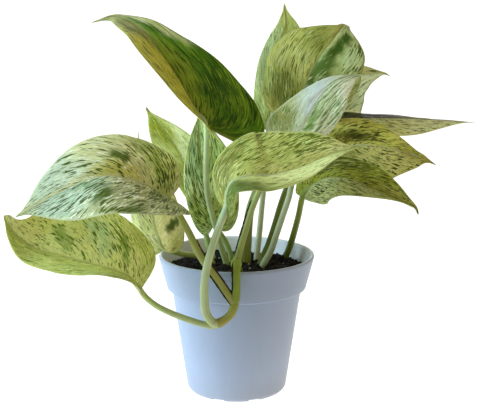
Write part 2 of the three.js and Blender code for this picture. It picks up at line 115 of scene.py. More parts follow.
# Trailing stem
STEM_PATH = ((3, -12, 70), (2, -18, 85), (1, -30, 92), (0, -42, 98), (0, -52, 99.5), (0, -58, 96),
             (0, -60, 87), (-1, -60, 78), (-3, -61, 71), (-8, -61, 66), (-14, -61, 63))
STEM_RADIUS = 2.6
STEM_NODES = ((0.48, 1.1), (0.78, 0.5), (1, 0.7))
NODE_SPREAD = 0.06
# The ring scar just past each node: its depth, and its place and reach as shares of the stem
SCAR_DEPTH = 0.35
SCAR_OFFSET = 0.012
SCAR_REACH = 0.008
STEM_STEP = 0.6
STEM_FACING = (0.25, -1.0, 0.3)
STEM_GROOVE = 0.06
STEM_TONES = ((0, "74762e"), (0.4, "8f9c38"), (0.47, "9fb634"), (0.52, "8a9a30"), (0.75, "74821e"),
              (0.86, "8e8a30"), (1, "968a38"))

# How a flat blade is laid out along its veins. An edge runs from the stalk to the tip as shares
# of the midrib's length and of the half's width.
HEART_EDGE = ((0, 0), (-0.045, 0.13), (-0.1, 0.36), (-0.095, 0.62), (-0.01, 0.86), (0.13, 0.985),
              (0.29, 1), (0.46, 0.89), (0.62, 0.67), (0.755, 0.4), (0.86, 0.17), (0.93, 0.05),
              (1, 0))
OVAL_EDGE = ((0, 0), (-0.005, 0.13), (0, 0.36), (0.035, 0.62), (0.1, 0.84), (0.2, 0.965), (0.33, 1),
             (0.48, 0.91), (0.63, 0.69), (0.76, 0.42), (0.86, 0.18), (0.93, 0.05), (1, 0))
VEIN_START = 0.2
VEIN_CROWDING = 1.8
VEIN_SWEEP = 1.5
LEAST_BEND = 0.1
LEAST_TAPER = 0.01
WAVE_LAG = 1 / 3

# How a blade thins towards its edge, bulges at its rim, and is furrowed along its midrib
EDGE_THINNING = 0.45
RIM_BULGE = 0.25
FURROW_REACH = 0.9
# Where the margin's tone starts, and how wide and how strong it and the midrib's tone are
MARGIN_START = 0.965
MARGIN_BLEND = 0.02
MARGIN_SHARE = 0.7
RIB_PAINT_REACH = 0.035
RIB_PAINT_SHARE = 0.55
# Keeps a direction of no length from being divided by nothing
TINY = 1e-12

# How far apart the halves and the leaves lie in the map of the veins, so that no two have the
# same marks
HALF_SHIFT = 1.7
LEAF_SHIFT = 3.1

# Midribs, from near the stalk to near the tip. Each thins from a share of the stalk's radius to
# its own radius at the tip, and sinks under the blade but for a cover.
RIB_START = 0.03
RIB_END = 0.94
RIB_POINTS = 12
RIB_SHARE = 0.8
RIB_TIP_RADIUS = 0.22
RIB_COVER = 0.05
RIB_SINK_SHARE = 0.15

# Stalks, with a groove in front and a slightly swollen knee just under the blade
STALK_STEP = 1.3
STALK_SIDES = 16
STALK_GROOVE = 0.3
KNEE_REACH = 4
KNEE_SWELLING = 0.06

# The finish of each kind of leaf, which is its slot's name, and how fine its flecks are
LEAF_FINENESS = {"leaf_olive": 1.0, "leaf_cream": 0.72, "leaf_lime": 0.95, "leaf_green": 0.8}

# Each leaf's form follows its solid: the paths of its stalk and its midrib, the way that the upper
# face looks at the stalk and at the tip, and pairs for the left and right halves. The radius pair
# is the stalk's, at its foot and at the blade, and a few of them differ from the solid's. A rooted
# stalk goes on down into the soil, and one with a foot starts there, inside the stem.
# The paint is chosen for the half too: the wash, the cover of green and of cream marks, and how
# the marks lean. Flecks, pale and margin are the tones of the green marks, of the cream marks, and
# of the edge and the midrib. A patch lies on one half at a share of the way round the edge and a
# share of the way out, with its two reaches, what it is, and how strong. It is a colour, "blot"
# in the tone of the flecks, "green" for more green marks or "plain" for fewer marks. A dry tip is
# a colour at the end of both halves, how far back it reaches and how strong it is.
# Some colour patches and one wash below are painted light: painted shade, sheen or light, marked at each
LEAVES = (
    dict(
        node="leaf_front", foot=(-10, -61.5, 64.4),
        stalk=((-15, -62, 65), (-19, -65, 72), (-20, -67, 81), (-20, -68, 91), (-18, -68, 104),
               (-15, -68, 115), (-11, -66, 127), (-6, -62, 137)),
        rib=((-6, -62, 137), (-6, -65, 148), (-2, -67, 157), (9, -66, 160), (22, -63, 160),
             (40, -58, 164), (59, -52, 171), (77, -47, 175)),
        face=(-0.3, -0.85, 0.2), tip_face=(-0.1, -0.85, 0.5),
        width=(31.5, 12), fold=(-34, 45), tip_fold=(15, 40), bend=(-25, -10), lobe=(-0.8, 0.2),
        slim=(-0.3, -0.45), wave=(1.2, 2, 0.3), radius=(2.9, 2.2), slot="leaf_olive",
        wash=("b6be6a", "c4cc84"), flecks="66761f", pale="d6de98", margin="c9ce90",
        green=(0.34, 0.3), cream=(0.32, 0.34), lean=(0.2, 0.2), stalk_wash=("a3ab74", "b2be8c"),
        patches=(
            (LEFT, 0.8, 0.85, 0.08, 0.35, "green", 0.2),
            (LEFT, 0.86, 0.7, 0.08, 0.5, "dce094", 0.8),
            (LEFT, 0.55, 0.7, 0.12, 0.3, "green", 0.08),
            (LEFT, 0.45, 0.4, 0.1, 0.6, "7e7834", 0.88),
            (LEFT, 0.78, 0.12, 0.14, 0.22, "c8c880", 0.75),
            (LEFT, 0.93, 0.5, 0.05, 0.6, "e6eab4", 0.8),
            # Painted shade: darker near the base of the right half, shaded by the upper half and leaves
            # above
            (RIGHT, 0.24, 0.6, 0.2, 0.8, "6a7834", 0.9),
            (LEFT, 0.12, 0.6, 0.12, 0.8, "7f8a3e", 0.7),
            # Painted shade over the right half near its base: darker and with fewer marks
            (RIGHT, 0.46, 0.55, 0.13, 0.9, "5a6c2a", 0.95),
            (RIGHT, 0.46, 0.55, 0.13, 0.9, "plain", 0.5),
            # Partly the half's own cream and partly painted light, where the right half catches the light
            (RIGHT, 0.78, 0.5, 0.14, 0.8, "eaf0ae", 0.9),
        ),
    ),
    dict(
        node="leaf_marbled_left",
        stalk=((0, -60, 75), (-5, -60, 82), (-11, -60, 91), (-18, -60, 101), (-24, -58, 110),
               (-30, -55, 122), (-37, -52, 134), (-42, -50, 143)),
        rib=((-42, -50, 143), (-53, -54, 150), (-65, -58, 156), (-78, -61, 159), (-92, -63, 157),
             (-108, -65, 150), (-123, -66, 142), (-137, -66, 134)),
        face=(-0.2, -0.75, 0.65), tip_face=(-0.1, -0.75, 0.65),
        width=(42, 37), fold=(60, 0), tip_fold=(-10, 0), bend=(-10, -30), lobe=(0.8, 0.4),
        slim=(-0.1, -0.15), wave=(1.4, 1.8, 0.1), radius=(3, 1.9), slot="leaf_cream",
        wash=("a8aa7e", "c4c494"), flecks="4a5c08", pale="eceada", margin="bcc09a",
        green=(0.4, 0.32), cream=(0.3, 0.26), lean=(0.15, 0.15), stalk_wash=("8c8d42", "a3a552"),
        patches=(
            (RIGHT, 0.63, 0.15, 0.1, 0.24, "bcb45c", 0.9),
            (RIGHT, 0.59, 0.45, 0.028, 0.14, "blot", 0.95),
            (RIGHT, 0.42, 0.45, 0.022, 0.3, "blot", 0.9),
            (RIGHT, 0.45, 0.82, 0.02, 0.12, "blot", 0.85),
            (RIGHT, 0.5, 0.72, 0.014, 0.1, "blot", 0.8),
            (RIGHT, 0.36, 0.5, 0.1, 0.6, "green", 0.16),
            (RIGHT, 0.36, 0.5, 0.14, 0.7, "b4c26a", 0.75),
            (RIGHT, 0.47, 0.9, 0.06, 0.2, "a8ae72", 0.5),
            # Painted sheen: these bluish grey patches stand for a bluish reflection of the light from the
            # left
            (RIGHT, 0.8, 0.7, 0.12, 0.5, "b4c4b4", 0.8),
            (RIGHT, 0.72, 0.95, 0.08, 0.15, "b8c4b4", 0.8),
            (LEFT, 0.64, 0.6, 0.03, 0.17, "blot", 0.95),
            (LEFT, 0.66, 0.38, 0.018, 0.1, "blot", 0.85),
            (LEFT, 0.5, 0.93, 0.035, 0.12, "blot", 0.9),
            (LEFT, 0.42, 0.35, 0.05, 0.2, "green", 0.22),
            # Painted sheen: a bluish reflection of the light from the left
            (LEFT, 0.8, 0.4, 0.14, 0.7, "b0c6b4", 0.85),
            (LEFT, 0.74, 0.25, 0.05, 0.2, "86a67c", 0.6),
            (LEFT, 0.1, 0.9, 0.12, 0.5, "b6baa0", 0.9),
            (LEFT, 0.1, 0.9, 0.12, 0.5, "plain", 0.85),
        ),
    ),
    dict(
        node="leaf_low_left", foot=(-9, -61, 65),
        stalk=((-15, -60, 62), (-23, -61, 64), (-31, -62, 67), (-41, -62, 71), (-50, -60, 75),
               (-56, -58, 79), (-59, -57, 82), (-61, -56, 85)),
        rib=((-61, -56, 85), (-68, -59, 94), (-80, -61, 100), (-94, -62, 104), (-110, -63, 109),
             (-126, -64, 114), (-138, -65, 124), (-144, -66, 135)),
        face=(0.1, -0.85, 0.5), tip_face=(-0.1, -0.85, 0.5),
        width=(30, 31), fold=(76, 0), tip_fold=(40, 0), bend=(0, -10), lobe=(0, -0.2),
        slim=(-0.3, -0.6), wave=(1.2, 2, 0.6), radius=(2.2, 1.8), slot="leaf_lime",
        wash=("bec878", "e2e8a4"), flecks="6a8820", pale="e2e8a4", margin="bcc472",
        green=(0.28, 0.3), cream=(0.3, 0.36), lean=(0.15, 0.15), stalk_wash=("a3a878", "a8b660"),
        patches=(
            # Painted sheen: a bluish patch for the blade's reflection of the light
            (RIGHT, 0.59, 0.55, 0.06, 0.4, "c0d8b6", 0.85),
            (RIGHT, 0.48, 0.45, 0.02, 0.3, "blot", 0.75),
            (RIGHT, 0.5, 0.45, 0.06, 0.4, "green", 0.16),
            (RIGHT, 0.75, 0.35, 0.03, 0.25, "blot", 0.6),
            (RIGHT, 0.89, 0.75, 0.08, 0.4, "e2e09a", 0.95),
            (RIGHT, 0.72, 0.9, 0.07, 0.2, "cad49a", 0.8),
            (RIGHT, 0.33, 0.7, 0.08, 0.5, "aab84c", 0.7),
            (RIGHT, 0.15, 0.5, 0.1, 0.7, "a8b24e", 0.8),
            (LEFT, 0.4, 0.8, 0.14, 0.4, "a0a872", 0.8),
        ),
    ),
    dict(
        node="leaf_under_left", rooted=True,
        stalk=((-16, 5, 86), (-25, -2, 93), (-37, -10, 97), (-49, -16, 101)),
        rib=((-49, -16, 101), (-53, -23, 119), (-57, -26, 139), (-63, -22, 159), (-64, -14, 180)),
        face=(-0.1, -0.95, 0.2), tip_face=(-0.1, -0.95, 0.2),
        width=(15, 19), fold=(10, 20), tip_fold=(10, 10), bend=(-20, -20), lobe=(0.3, 0.3),
        slim=(0, 0), wave=(1, 1.6, 0.2), radius=(2.2, 1.8), slot="leaf_cream",
        wash=("cedcac", "caca90"), flecks="485606", pale="dbe4c4", margin="b8be88",
        green=(0.26, 0.1), cream=(0.35, 0.25), lean=(0.2, 0.2), stalk_wash=("8f9a55", "9fae68"),
        patches=(
            (RIGHT, 0.49, 0.62, 0.036, 0.32, "blot", 0.98),
            (RIGHT, 0.3, 0.7, 0.12, 0.4, "aaa858", 0.8),
            (LEFT, 0.25, 0.5, 0.16, 0.6, "b0bb76", 0.8),
        ),
    ),
    dict(
        node="leaf_back_left", rooted=True,
        stalk=((-15, 12, 84), (-19, 11, 97), (-22, 12, 110), (-25, 16, 125)),
        rib=((-25, 16, 125), (-31, 18, 142), (-38, 22, 157), (-47, 27, 172), (-55, 31, 182),
             (-60, 34, 187), (-62, 35, 190)),
        face=(0.2, -0.9, 0.3), tip_face=(0.1, -0.9, 0.3),
        width=(12, 20), fold=(50, 10), tip_fold=(10, 10), bend=(-10, -10), lobe=(0.3, 0.6),
        slim=(-0.6, 0.2), wave=(1.6, 2.2, 0.5), radius=(2.2, 1.8), slot="leaf_lime",
        wash=("d6e2aa", "e2eac4"), flecks="6c8030", pale="dde8b8", margin="b4be74",
        green=(0.24, 0.2), cream=(0.3, 0.36), lean=(0.2, 0.2), stalk_wash=("8a9a50", "a3b36c"),
        patches=(
            (LEFT, 0.86, 0.6, 0.12, 0.7, "a0a832", 0.95),
            (RIGHT, 0.86, 0.6, 0.12, 0.7, "a0a634", 0.95),
        ),
        dry_tip=("5c5458", 0.03, 0.9),
    ),
    dict(
        node="leaf_inner_left", rooted=True,
        stalk=((-3, 6, 86), (-5, 7, 95), (-9, 7, 104), (-16, 6, 112)),
        rib=((-16, 6, 112), (-20, 7, 133), (-23, 8, 154), (-25, 11, 173), (-25, 16, 192)),
        face=(0.1, -0.95, 0.2), tip_face=(0.1, -0.95, 0.2),
        width=(14, 20), fold=(10, 10), tip_fold=(10, 10), bend=(-10, -10), lobe=(0.6, 0.6),
        slim=(-0.1, -0.3), wave=(1, 2, 0.8), radius=(2.0, 1.6), slot="leaf_green",
        wash=("dcecba", "ccdc94"), flecks="3c661a", pale="b8d0ac", margin="a4ba80",
        green=(0.46, 0.4), cream=(0.42, 0.36), lean=(0.25, 0.25), stalk_wash=("7c8c3c", "9aac62"),
        patches=(
            (LEFT, 0.72, 0.5, 0.1, 0.5, "9cc094", 0.7),
            (LEFT, 0.42, 0.4, 0.14, 0.6, "bcc860", 0.85),
            (RIGHT, 0.4, 0.4, 0.2, 0.7, "a8ac4c", 0.85),
            (RIGHT, 0.66, 0.6, 0.1, 0.4, "7c9c3c", 0.5),
        ),
    ),
    dict(
        node="leaf_upper_left", rooted=True,
        stalk=((-7, 2, 87), (-11, 0, 101), (-14, -2, 114), (-18, -4, 129), (-20, -6, 143),
               (-20, -7, 160), (-18, -8, 181)),
        rib=((-18, -8, 181), (-27, -4, 193), (-37, 3, 210), (-49, 11, 227), (-61, 19, 242),
             (-75, 26, 250), (-85, 29, 252), (-98, 28, 248)),
        face=(0.3, -0.8, 0.6), tip_face=(0.3, -0.8, 0.6),
        width=(34, 41), fold=(60, 10), tip_fold=(20, 40), bend=(0, -15), lobe=(1, 2),
        slim=(-0.15, 0.75), wave=(1, 1.6, 0.4), radius=(2.2, 1.7), slot="leaf_green",
        wash=("d6d264", "52780f"), flecks="2e4a06", pale="98a834", margin="5a6a20",
        green=(0.32, 0.38), cream=(0.2, 0.3), lean=(0.3, 0.5), stalk_wash=("9cac6c", "b2c28e"),
        patches=(
            (LEFT, 0.9, 0.5, 0.14, 0.9, "b2b284", 0.95),
            (LEFT, 0.78, 0.7, 0.05, 0.4, "b0b080", 0.7),
            (LEFT, 0.8, 0.7, 0.05, 0.5, "green", 0.12),
            (RIGHT, 0.68, 0.2, 0.15, 0.45, "8e9a2a", 0.95),
            (RIGHT, 0.5, 0.05, 0.17, 0.2, "8c9e2c", 0.9),
            (RIGHT, 0.92, 0.5, 0.12, 0.9, "c6c28c", 0.95),
            (RIGHT, 0.72, 0.98, 0.12, 0.16, "d6ceaa", 0.9),
            (RIGHT, 0.5, 0.6, 0.07, 0.3, "2f520a", 0.85),
            (RIGHT, 0.3, 0.35, 0.08, 0.22, "345a08", 0.7),
            (RIGHT, 0.38, 0.75, 0.07, 0.25, "5c7c14", 0.6),
            (RIGHT, 0.06, 0.8, 0.1, 0.5, "8e9640", 0.9),
        ),
    ),
    dict(
        node="leaf_pale_centre",
        stalk=((0, -46, 98), (1, -44, 104), (3, -40, 111), (6, -34, 120), (10, -29, 132),
               (17, -22, 146), (26, -14, 157), (35, -8, 169)),
        rib=((35, -8, 169), (42, -13, 180), (48, -15, 192), (54, -16, 203), (62, -15, 212),
             (72, -12, 216), (82, -8, 217)),
        face=(0.1, -0.8, 0.55), tip_face=(0.2, -0.8, 0.55),
        width=(27, 14), fold=(0, 10), tip_fold=(0, 10), bend=(-20, -20), lobe=(1, -0.2),
        slim=(0.9, -0.6), wave=(1, 1.7, 0), radius=(2.7, 1.7), slot="leaf_cream",
        wash=("ccdac8", "e8f0d8"), flecks="6a8e3a", pale="e4ecd8", margin="ccd2b4",
        green=(0.12, 0.47), cream=(0.25, 0.5), lean=(0.3, 0.45), stalk_wash=("8f9a4c", "a4ad74"),
        patches=(
            # Painted reflection: a blue-white patch where the blade reflects the light
            (LEFT, 0.69, 0.5, 0.08, 0.6, "d0dfe6", 0.9),
            (LEFT, 0.44, 0.8, 0.15, 0.7, "9ca05c", 0.95),
            (LEFT, 0.46, 0.8, 0.13, 0.7, "green", 0.15),
            (LEFT, 0.9, 0.5, 0.08, 0.6, "c4d0a4", 0.7),
            (LEFT, 0.9, 0.5, 0.08, 0.6, "green", 0.2),
            (RIGHT, 0.6, 0.16, 0.1, 0.14, "blot", 0.8),
            (RIGHT, 0.64, 0.2, 0.14, 0.24, "a4c47c", 0.6),
            (RIGHT, 0.72, 0.45, 0.1, 0.4, "ccd4a4", 0.6),
            (RIGHT, 0.84, 0.85, 0.1, 0.3, "f6fae6", 0.9),
            (RIGHT, 0.84, 0.88, 0.08, 0.25, "plain", 0.4),
            (RIGHT, 0.95, 0.4, 0.04, 0.5, "d4dcb4", 0.7),
        ),
    ),
    dict(
        node="leaf_top_centre", rooted=True,
        stalk=((6, 6, 86), (7, 7, 102), (9, 8, 122), (15, 10, 140), (23, 12, 160), (36, 12, 181)),
        rib=((36, 12, 181), (40, 10, 196), (46, 8, 209), (50, 8, 218), (56, 9, 228),
             (63, 13, 236), (69, 20, 243), (73, 27, 247)),
        face=(-0.1, -0.9, 0.3), tip_face=(0.1, -0.7, 0.6),
        width=(25.5, 23), fold=(0, 10), tip_fold=(0, 10), bend=(-20, -20), lobe=(-0.2, 0),
        slim=(-0.52, -0.7), wave=(1, 1.5, 0.7), radius=(4, 1.7), slot="leaf_olive",
        wash=("b6b464", "acb676"), flecks="56660e", pale="c8d0a0", margin="7c8440",
        green=(0.36, 0.4), cream=(0.2, 0.42), lean=(0.4, 0.35), stalk_wash=("7c8434", "8d9544"),
        patches=(
            (LEFT, 0.52, 0.35, 0.14, 0.5, "86883c", 0.8),
            (LEFT, 0.52, 0.4, 0.1, 0.5, "green", 0.12),
            (LEFT, 0.47, 0.9, 0.08, 0.2, "a4ae5c", 0.6),
            (LEFT, 0.82, 0.6, 0.08, 0.6, "949a4c", 0.7),
            (RIGHT, 0.75, 0.2, 0.08, 0.28, "46620f", 0.95),
            (RIGHT, 0.84, 0.38, 0.055, 0.24, "38540c", 0.98),
            (RIGHT, 0.89, 0.64, 0.05, 0.25, "34520c", 0.98),
            (RIGHT, 0.82, 0.35, 0.12, 0.4, "plain", 0.8),
            (RIGHT, 0.89, 0.64, 0.05, 0.3, "plain", 0.8),
            (RIGHT, 0.68, 0.06, 0.1, 0.14, "56700c", 0.85),
            (RIGHT, 0.66, 0.05, 0.07, 0.12, "green", 0.25),
            (RIGHT, 0.78, 0.85, 0.06, 0.25, "bcd0a4", 0.85),
            (RIGHT, 0.97, 0.5, 0.04, 0.9, "c0c890", 0.7),
        ),
    ),
    dict(
        node="leaf_top_back", rooted=True,
        stalk=((14, 16, 88), (16, 22, 106), (18, 28, 126), (21, 33, 150), (22, 36, 174)),
        rib=((22, 36, 174), (27, 35, 198), (32, 35, 221), (35, 39, 241), (34, 44, 253),
             (33, 48, 260)),
        face=(-0.2, -0.9, 0.1), tip_face=(-0.2, -0.9, 0.2),
        width=(14, 21), fold=(10, 10), tip_fold=(10, 10), bend=(-20, -20), lobe=(0, 0.3),
        slim=(-0.45, -0.1), wave=(1, 1.8, 0.3), radius=(2.2, 1.7), slot="leaf_lime",
        wash=("a6b074", "a8ae62"), flecks="5c6a10", pale="ccd8ac", margin="9caa74",
        green=(0.3, 0.34), cream=(0.34, 0.3), lean=(0.25, 0.25), stalk_wash=("b8bc94", "c4c8a4"),
        patches=(
            (LEFT, 0.92, 0.5, 0.08, 0.8, "a6a640", 0.9),
            (RIGHT, 0.9, 0.6, 0.09, 0.8, "a4a23e", 0.9),
            (LEFT, 0.6, 0.8, 0.14, 0.4, "a4b48c", 0.6),
            (LEFT, 0.42, 0.5, 0.12, 0.6, "b8c682", 0.8),
        ),
    ),
    dict(
        node="leaf_back_right", rooted=True,
        stalk=((18, 24, 86), (25, 32, 100), (30, 41, 116), (36, 50, 132), (41, 58, 145),
               (45, 62, 159)),
        rib=((45, 62, 159), (56, 61, 180), (70, 59, 197), (81, 58, 206), (90, 57, 210),
             (98, 57, 211), (104, 57, 211), (108, 58, 209)),
        face=(0.3, -0.95, 0.1), tip_face=(0.2, -0.8, 0.5),
        width=(20, 25), fold=(20, 20), tip_fold=(20, 20), bend=(-10, -10), lobe=(1, 0.3),
        slim=(0, -0.2), wave=(1, 2, 0.5), radius=(2.0, 1.15), slot="leaf_cream",
        wash=("cccc9c", "d8dcbc"), flecks="56662a", pale="d8dab4", margin="a8ac80",
        green=(0.28, 0.25), cream=(0.3, 0.36), lean=(0.2, 0.2), stalk_wash=("6c7a28", "8a9648"),
        patches=(
            (RIGHT, 0.7, 0.5, 0.06, 0.4, "a8ae80", 0.5),
            (LEFT, 0.88, 0.85, 0.03, 0.2, "green", 0.4),
        ),
        dry_tip=("6a6266", 0.03, 0.8),
    ),
    dict(
        node="leaf_long_right", rooted=True,
        stalk=((15, 2, 84), (21, 8, 97), (26, 14, 111), (30, 18, 124), (35, 23, 137), (44, 30, 154),
               (56, 34, 168)),
        rib=((56, 34, 168), (67, 32, 178), (79, 30, 182), (95, 29, 183), (111, 28, 183),
             (133, 29, 182), (150, 31, 181), (165, 36, 179)),
        face=(0, -0.2, 1), tip_face=(0, -0.4, 0.9),
        width=(22, 24), fold=(8, -5), tip_fold=(-35, -10), bend=(-10, -10), lobe=(1, 1),
        slim=(0.4, 0), wave=(1.4, 2.2, 0), radius=(2.2, 1.7), slot="leaf_olive",
        # Painted shade: the left half's wash is nearly black, for the far half lying edge-on in shadow
        wash=("0a0e03", "e6ecb8"), flecks="4a520e", pale="dcdeb8", margin="a8ae7c",
        green=(0.4, 0.34), cream=(0.15, 0.4), lean=(0.1, 0.1), stalk_wash=("5c661c", "6c7624"),
        patches=(
            (LEFT, 0.86, 0.5, 0.13, 0.9, "b4b88a", 0.9),
            (RIGHT, 0.6, 0.4, 0.12, 0.5, "b4ba4e", 0.7),
            (RIGHT, 0.68, 0.12, 0.09, 0.2, "8c9028", 0.6),
            (RIGHT, 0.92, 0.5, 0.07, 0.8, "bcc09c", 0.8),
        ),
        dry_tip=("4c4248", 0.035, 0.9),
    ),
    dict(
        node="leaf_middle_right", rooted=True,
        stalk=((17, -3, 85), (23, -3, 97), (27, -3, 109), (31, -2, 121), (35, -1, 133),
               (38, 0, 145), (44, -5, 160)),
        rib=((44, -5, 160), (56, -9, 166), (71, -12, 170), (87, -14, 171), (105, -14, 168),
             (117, -12, 164), (124, -11, 162), (132, -9, 157)),
        face=(0, -0.7, 0.7), tip_face=(0.2, -0.75, 0.65),
        width=(28, 28), fold=(0, -32), tip_fold=(0, 0), bend=(-15, -10), lobe=(0.2, 0.5),
        slim=(0.25, -0.2), wave=(1.3, 2, 0.2), radius=(2.4, 1.8), slot="leaf_olive",
        wash=("ced06c", "c6c882"), flecks="434a08", pale="ccc47c", margin="a4a050",
        green=(0.36, 0.36), cream=(0.25, 0.32), lean=(0.1, 0.1), stalk_wash=("9ca476", "b0b890"),
        patches=(
            (LEFT, 0.63, 0.35, 0.1, 0.26, "606012", 0.9),
            (LEFT, 0.66, 0.5, 0.08, 0.25, "green", 0.16),
            (LEFT, 0.55, 0.9, 0.08, 0.14, "ac9c3e", 0.7),
            (RIGHT, 0.62, 0.15, 0.08, 0.2, "888a3c", 0.6),
            (RIGHT, 0.92, 0.5, 0.07, 0.8, "b4ac58", 0.75),
            (LEFT, 0.9, 0.5, 0.08, 0.8, "acaa50", 0.8),
        ),
        dry_tip=("4c4248", 0.03, 0.9),
    ),
    dict(
        node="leaf_low_right", rooted=True,
        stalk=((32, 22, 82), (36, 18, 93), (39, 12, 105), (42, 5, 120), (43, -4, 135)),
        rib=((43, -4, 135), (50, -16, 145), (59, -24, 151), (70, -30, 152), (83, -34, 148),
             (95, -36, 143), (106, -37, 138), (114, -37, 134), (117, -36, 129)),
        face=(0, -0.8, 0.6), tip_face=(0.3, -0.8, 0.5),
        width=(12, 16), fold=(25, -40), tip_fold=(25, 72), bend=(-15, -10), lobe=(0.3, -0.3),
        slim=(-0.5, 0), wave=(1.2, 2, 0.9), radius=(2.4, 1.9), slot="leaf_olive",
        wash=("9aa43a", "bcc68e"), flecks="3c460a", pale="b4b870", margin="90964e",
        green=(0.4, 0.38), cream=(0.3, 0.34), lean=(0.1, 0.1), stalk_wash=("626c1c", "7a8630"),
        patches=(
            (LEFT, 0.58, 0.75, 0.11, 0.35, "555c0e", 0.85),
            (LEFT, 0.88, 0.6, 0.1, 0.7, "b4b45e", 0.85),
            (LEFT, 0.76, 0.3, 0.08, 0.4, "94962e", 0.6),
            (RIGHT, 0.5, 0.35, 0.05, 0.3, "green", 0.16),
            (RIGHT, 0.88, 0.5, 0.09, 0.8, "a2a658", 0.85),
        ),
        dry_tip=("4c4248", 0.025, 0.9),
    ),
)

# Dried edges of the sheaths: on which stalk or stem, from and to which share of the way
# along, and which way they lie off its middle: across to the right, and out to the front
SHEATHS = (
    ("leaf_marbled_left", 0.02, 0.62, 0.85, 0.55),
    ("leaf_marbled_left", 0.02, 0.4, -0.85, 0.55),
    ("leaf_pale_centre", 0.05, 0.5, -0.8, 0.6),
    ("stem_front", 0.5, 0.76, 1.02, 0.45),
)
SHEATH_RADIUS = 0.55
SHEATH_FLATNESS = 0.7
SHEATH_POINTS = 60

# Looks: noise lies in a span that ends at a top, light scatters in green parts by colour, dust on
# the pot reaches up to a height in metres, the pot's inside is painted lighter than its outside as
# painted light, and the leaves' undersides have a colour of their own
NOISE_TOP = 0.65
NOISE_SPAN = 0.3
GREEN_SCATTER = (0.6, 1.0, 0.25)
DUST_HEIGHT = 0.02
LIT_INSIDE_COLOUR = (0.8, 0.8, 0.78)
UNDERSIDE_CODE = "a7b386"

# Stage in metres: the paper's section, the lights and the camera
PAPER_FRONT = -4.0
PAPER_BACK = 2.0
PAPER_TOP = 6.0
PAPER_HALF_WIDTH = 6.0
PAPER_BEND = 1.5
KEY_LIGHT = ((-1.35, -0.3, 0.8), (1.1, 1.1), (0.56, 0.8, 1.0))
FILL_LIGHT = ((1.2, -0.5, 0.6), (0.9, 0.9), (1.0, 0.78, 0.42))
SKY_COLOUR = (1, 0.95, 0.86)
CAMERA_PLACE = (0.002, -0.8255, 0.2978)
CAMERA_DOWN = 11.5
SENSOR_WIDTH = 36


def srgb(code):
    """A colour written as six hexadecimal digits, as linear red, green and blue."""
    parts = [int(code[i:i + 2], 16) / 255 for i in (0, 2, 4)]
    return np.array([c / 12.92 if c <= 0.04045 else ((c + 0.055) / 1.055) ** 2.4 for c in parts])


def unit(vectors):
    """Vectors at length one."""
    return vectors / np.linalg.norm(vectors, axis=-1, keepdims=True)


def square_to(along, facing):
    """Directions turned square to a path, at length one."""
    return unit(facing - along * (facing * along).sum(-1, keepdims=True))


def through(points, shares):
    """Points of the smooth curve through some control points, at shares of their count."""
    controls = np.asarray(points, float)
    place = np.asarray(shares, float) * (len(controls) - 1)
    index = np.clip(np.floor(place).astype(int), 0, len(controls) - 2)
    w = (place - index)[..., None]
    run = np.vstack([2 * controls[0] - controls[1], controls, 2 * controls[-1] - controls[-2]])
    before, start, end, after = run[index], run[index + 1], run[index + 2], run[index + 3]
    leave, arrive = (end - before) / 2, (after - start) / 2
    cubic = (2 * start - 2 * end + leave + arrive) * w**3
    return cubic + (3 * end - 3 * start - 2 * leave - arrive) * w**2 + leave * w + start


class Route:
    """A smooth path through points, measured along its own length."""

    SAMPLES = 1500

    def __init__(self, points):
        self.points = through(points, np.linspace(0, 1, self.SAMPLES + 1))
        steps = np.linalg.norm(np.diff(self.points, axis=0), axis=1)
        self.marks = np.concatenate([[0], np.cumsum(steps)])
        self.length = self.marks[-1]
        self.slopes = unit(np.gradient(self.points, self.marks, axis=0))

    def _read(self, table, shares):
        far = np.asarray(shares) * self.length
        return np.stack([np.interp(far, self.marks, table[:, k]) for k in range(3)], -1)

    def at(self, shares):
        return self._read(self.points, shares)

    def along(self, shares):
        return unit(self._read(self.slopes, shares))


def by_side(pair, side):
    """The value of a left and right pair for each point."""
    return np.where(side == LEFT, float(pair[LEFT]), float(pair[RIGHT]))


class Blade:
    """The surface of one leaf, from its midrib out to its edge."""

    def __init__(self, leaf):
        self.leaf = leaf
        self.midrib = Route(leaf["rib"])
        self.length = self.midrib.length

    def up(self, shares):
        """The way that the upper face looks beside the midrib."""
        along = self.midrib.along(shares)
        face = np.array(self.leaf["face"], float)
        tip_face = np.array(self.leaf["tip_face"], float)
        return square_to(along, face + (tip_face - face) * np.asarray(shares)[..., None])

    def place(self, u, v):
        """Where a point of the flat blade lies: u along the midrib, v out from it, left negative."""
        leaf = self.leaf
        share = np.clip(u / self.length, 0, 1)
        along = self.midrib.along(share)
        centre = self.midrib.at(share) + along * np.minimum(u, 0)[..., None]
        up = self.up(share)
        right = np.cross(along, up)
        side = np.where(v < 0, LEFT, RIGHT)
        width = by_side(leaf["width"], side)
        fold = by_side(leaf["fold"], side)
        fold = np.radians(fold + (by_side(leaf["tip_fold"], side) - fold) * share)
        turn = by_side(leaf["bend"], side)
        bend = np.radians(np.where(turn == 0, LEAST_BEND, turn)) / width
        out = np.abs(v)
        across = (np.sin(fold + bend * out) - np.sin(fold)) / bend
        rise = (np.cos(fold) - np.cos(fold + bend * out)) / bend
        height, count, start = leaf["wave"]
        phase = 2 * np.pi * (count * share + start + side * WAVE_LAG)
        rise = rise + height * (out / width) ** 2 * np.sin(phase)
        return centre + right * (np.sign(v) * across)[..., None] + up * rise[..., None]

    def flat(self, side, share, out):
        """A point of one half on the flat blade, from the share round the edge and the share out."""
        lobe = self.leaf["lobe"][side]
        oval = np.array(OVAL_EDGE)
        end = through(oval + (np.array(HEART_EDGE) - oval) * lobe, share)
        taper = np.clip(1 - end[..., 0], LEAST_TAPER, 1) ** self.leaf["slim"][side]
        reach = self.leaf["width"][side] * taper
        start = np.clip((share - VEIN_START) / (1 - VEIN_START), 0, 1) ** VEIN_CROWDING
        u = start + (end[..., 0] - start) * out**VEIN_SWEEP
        v = end[..., 1] * reach * out
        return u * self.length, v if side == RIGHT else -v


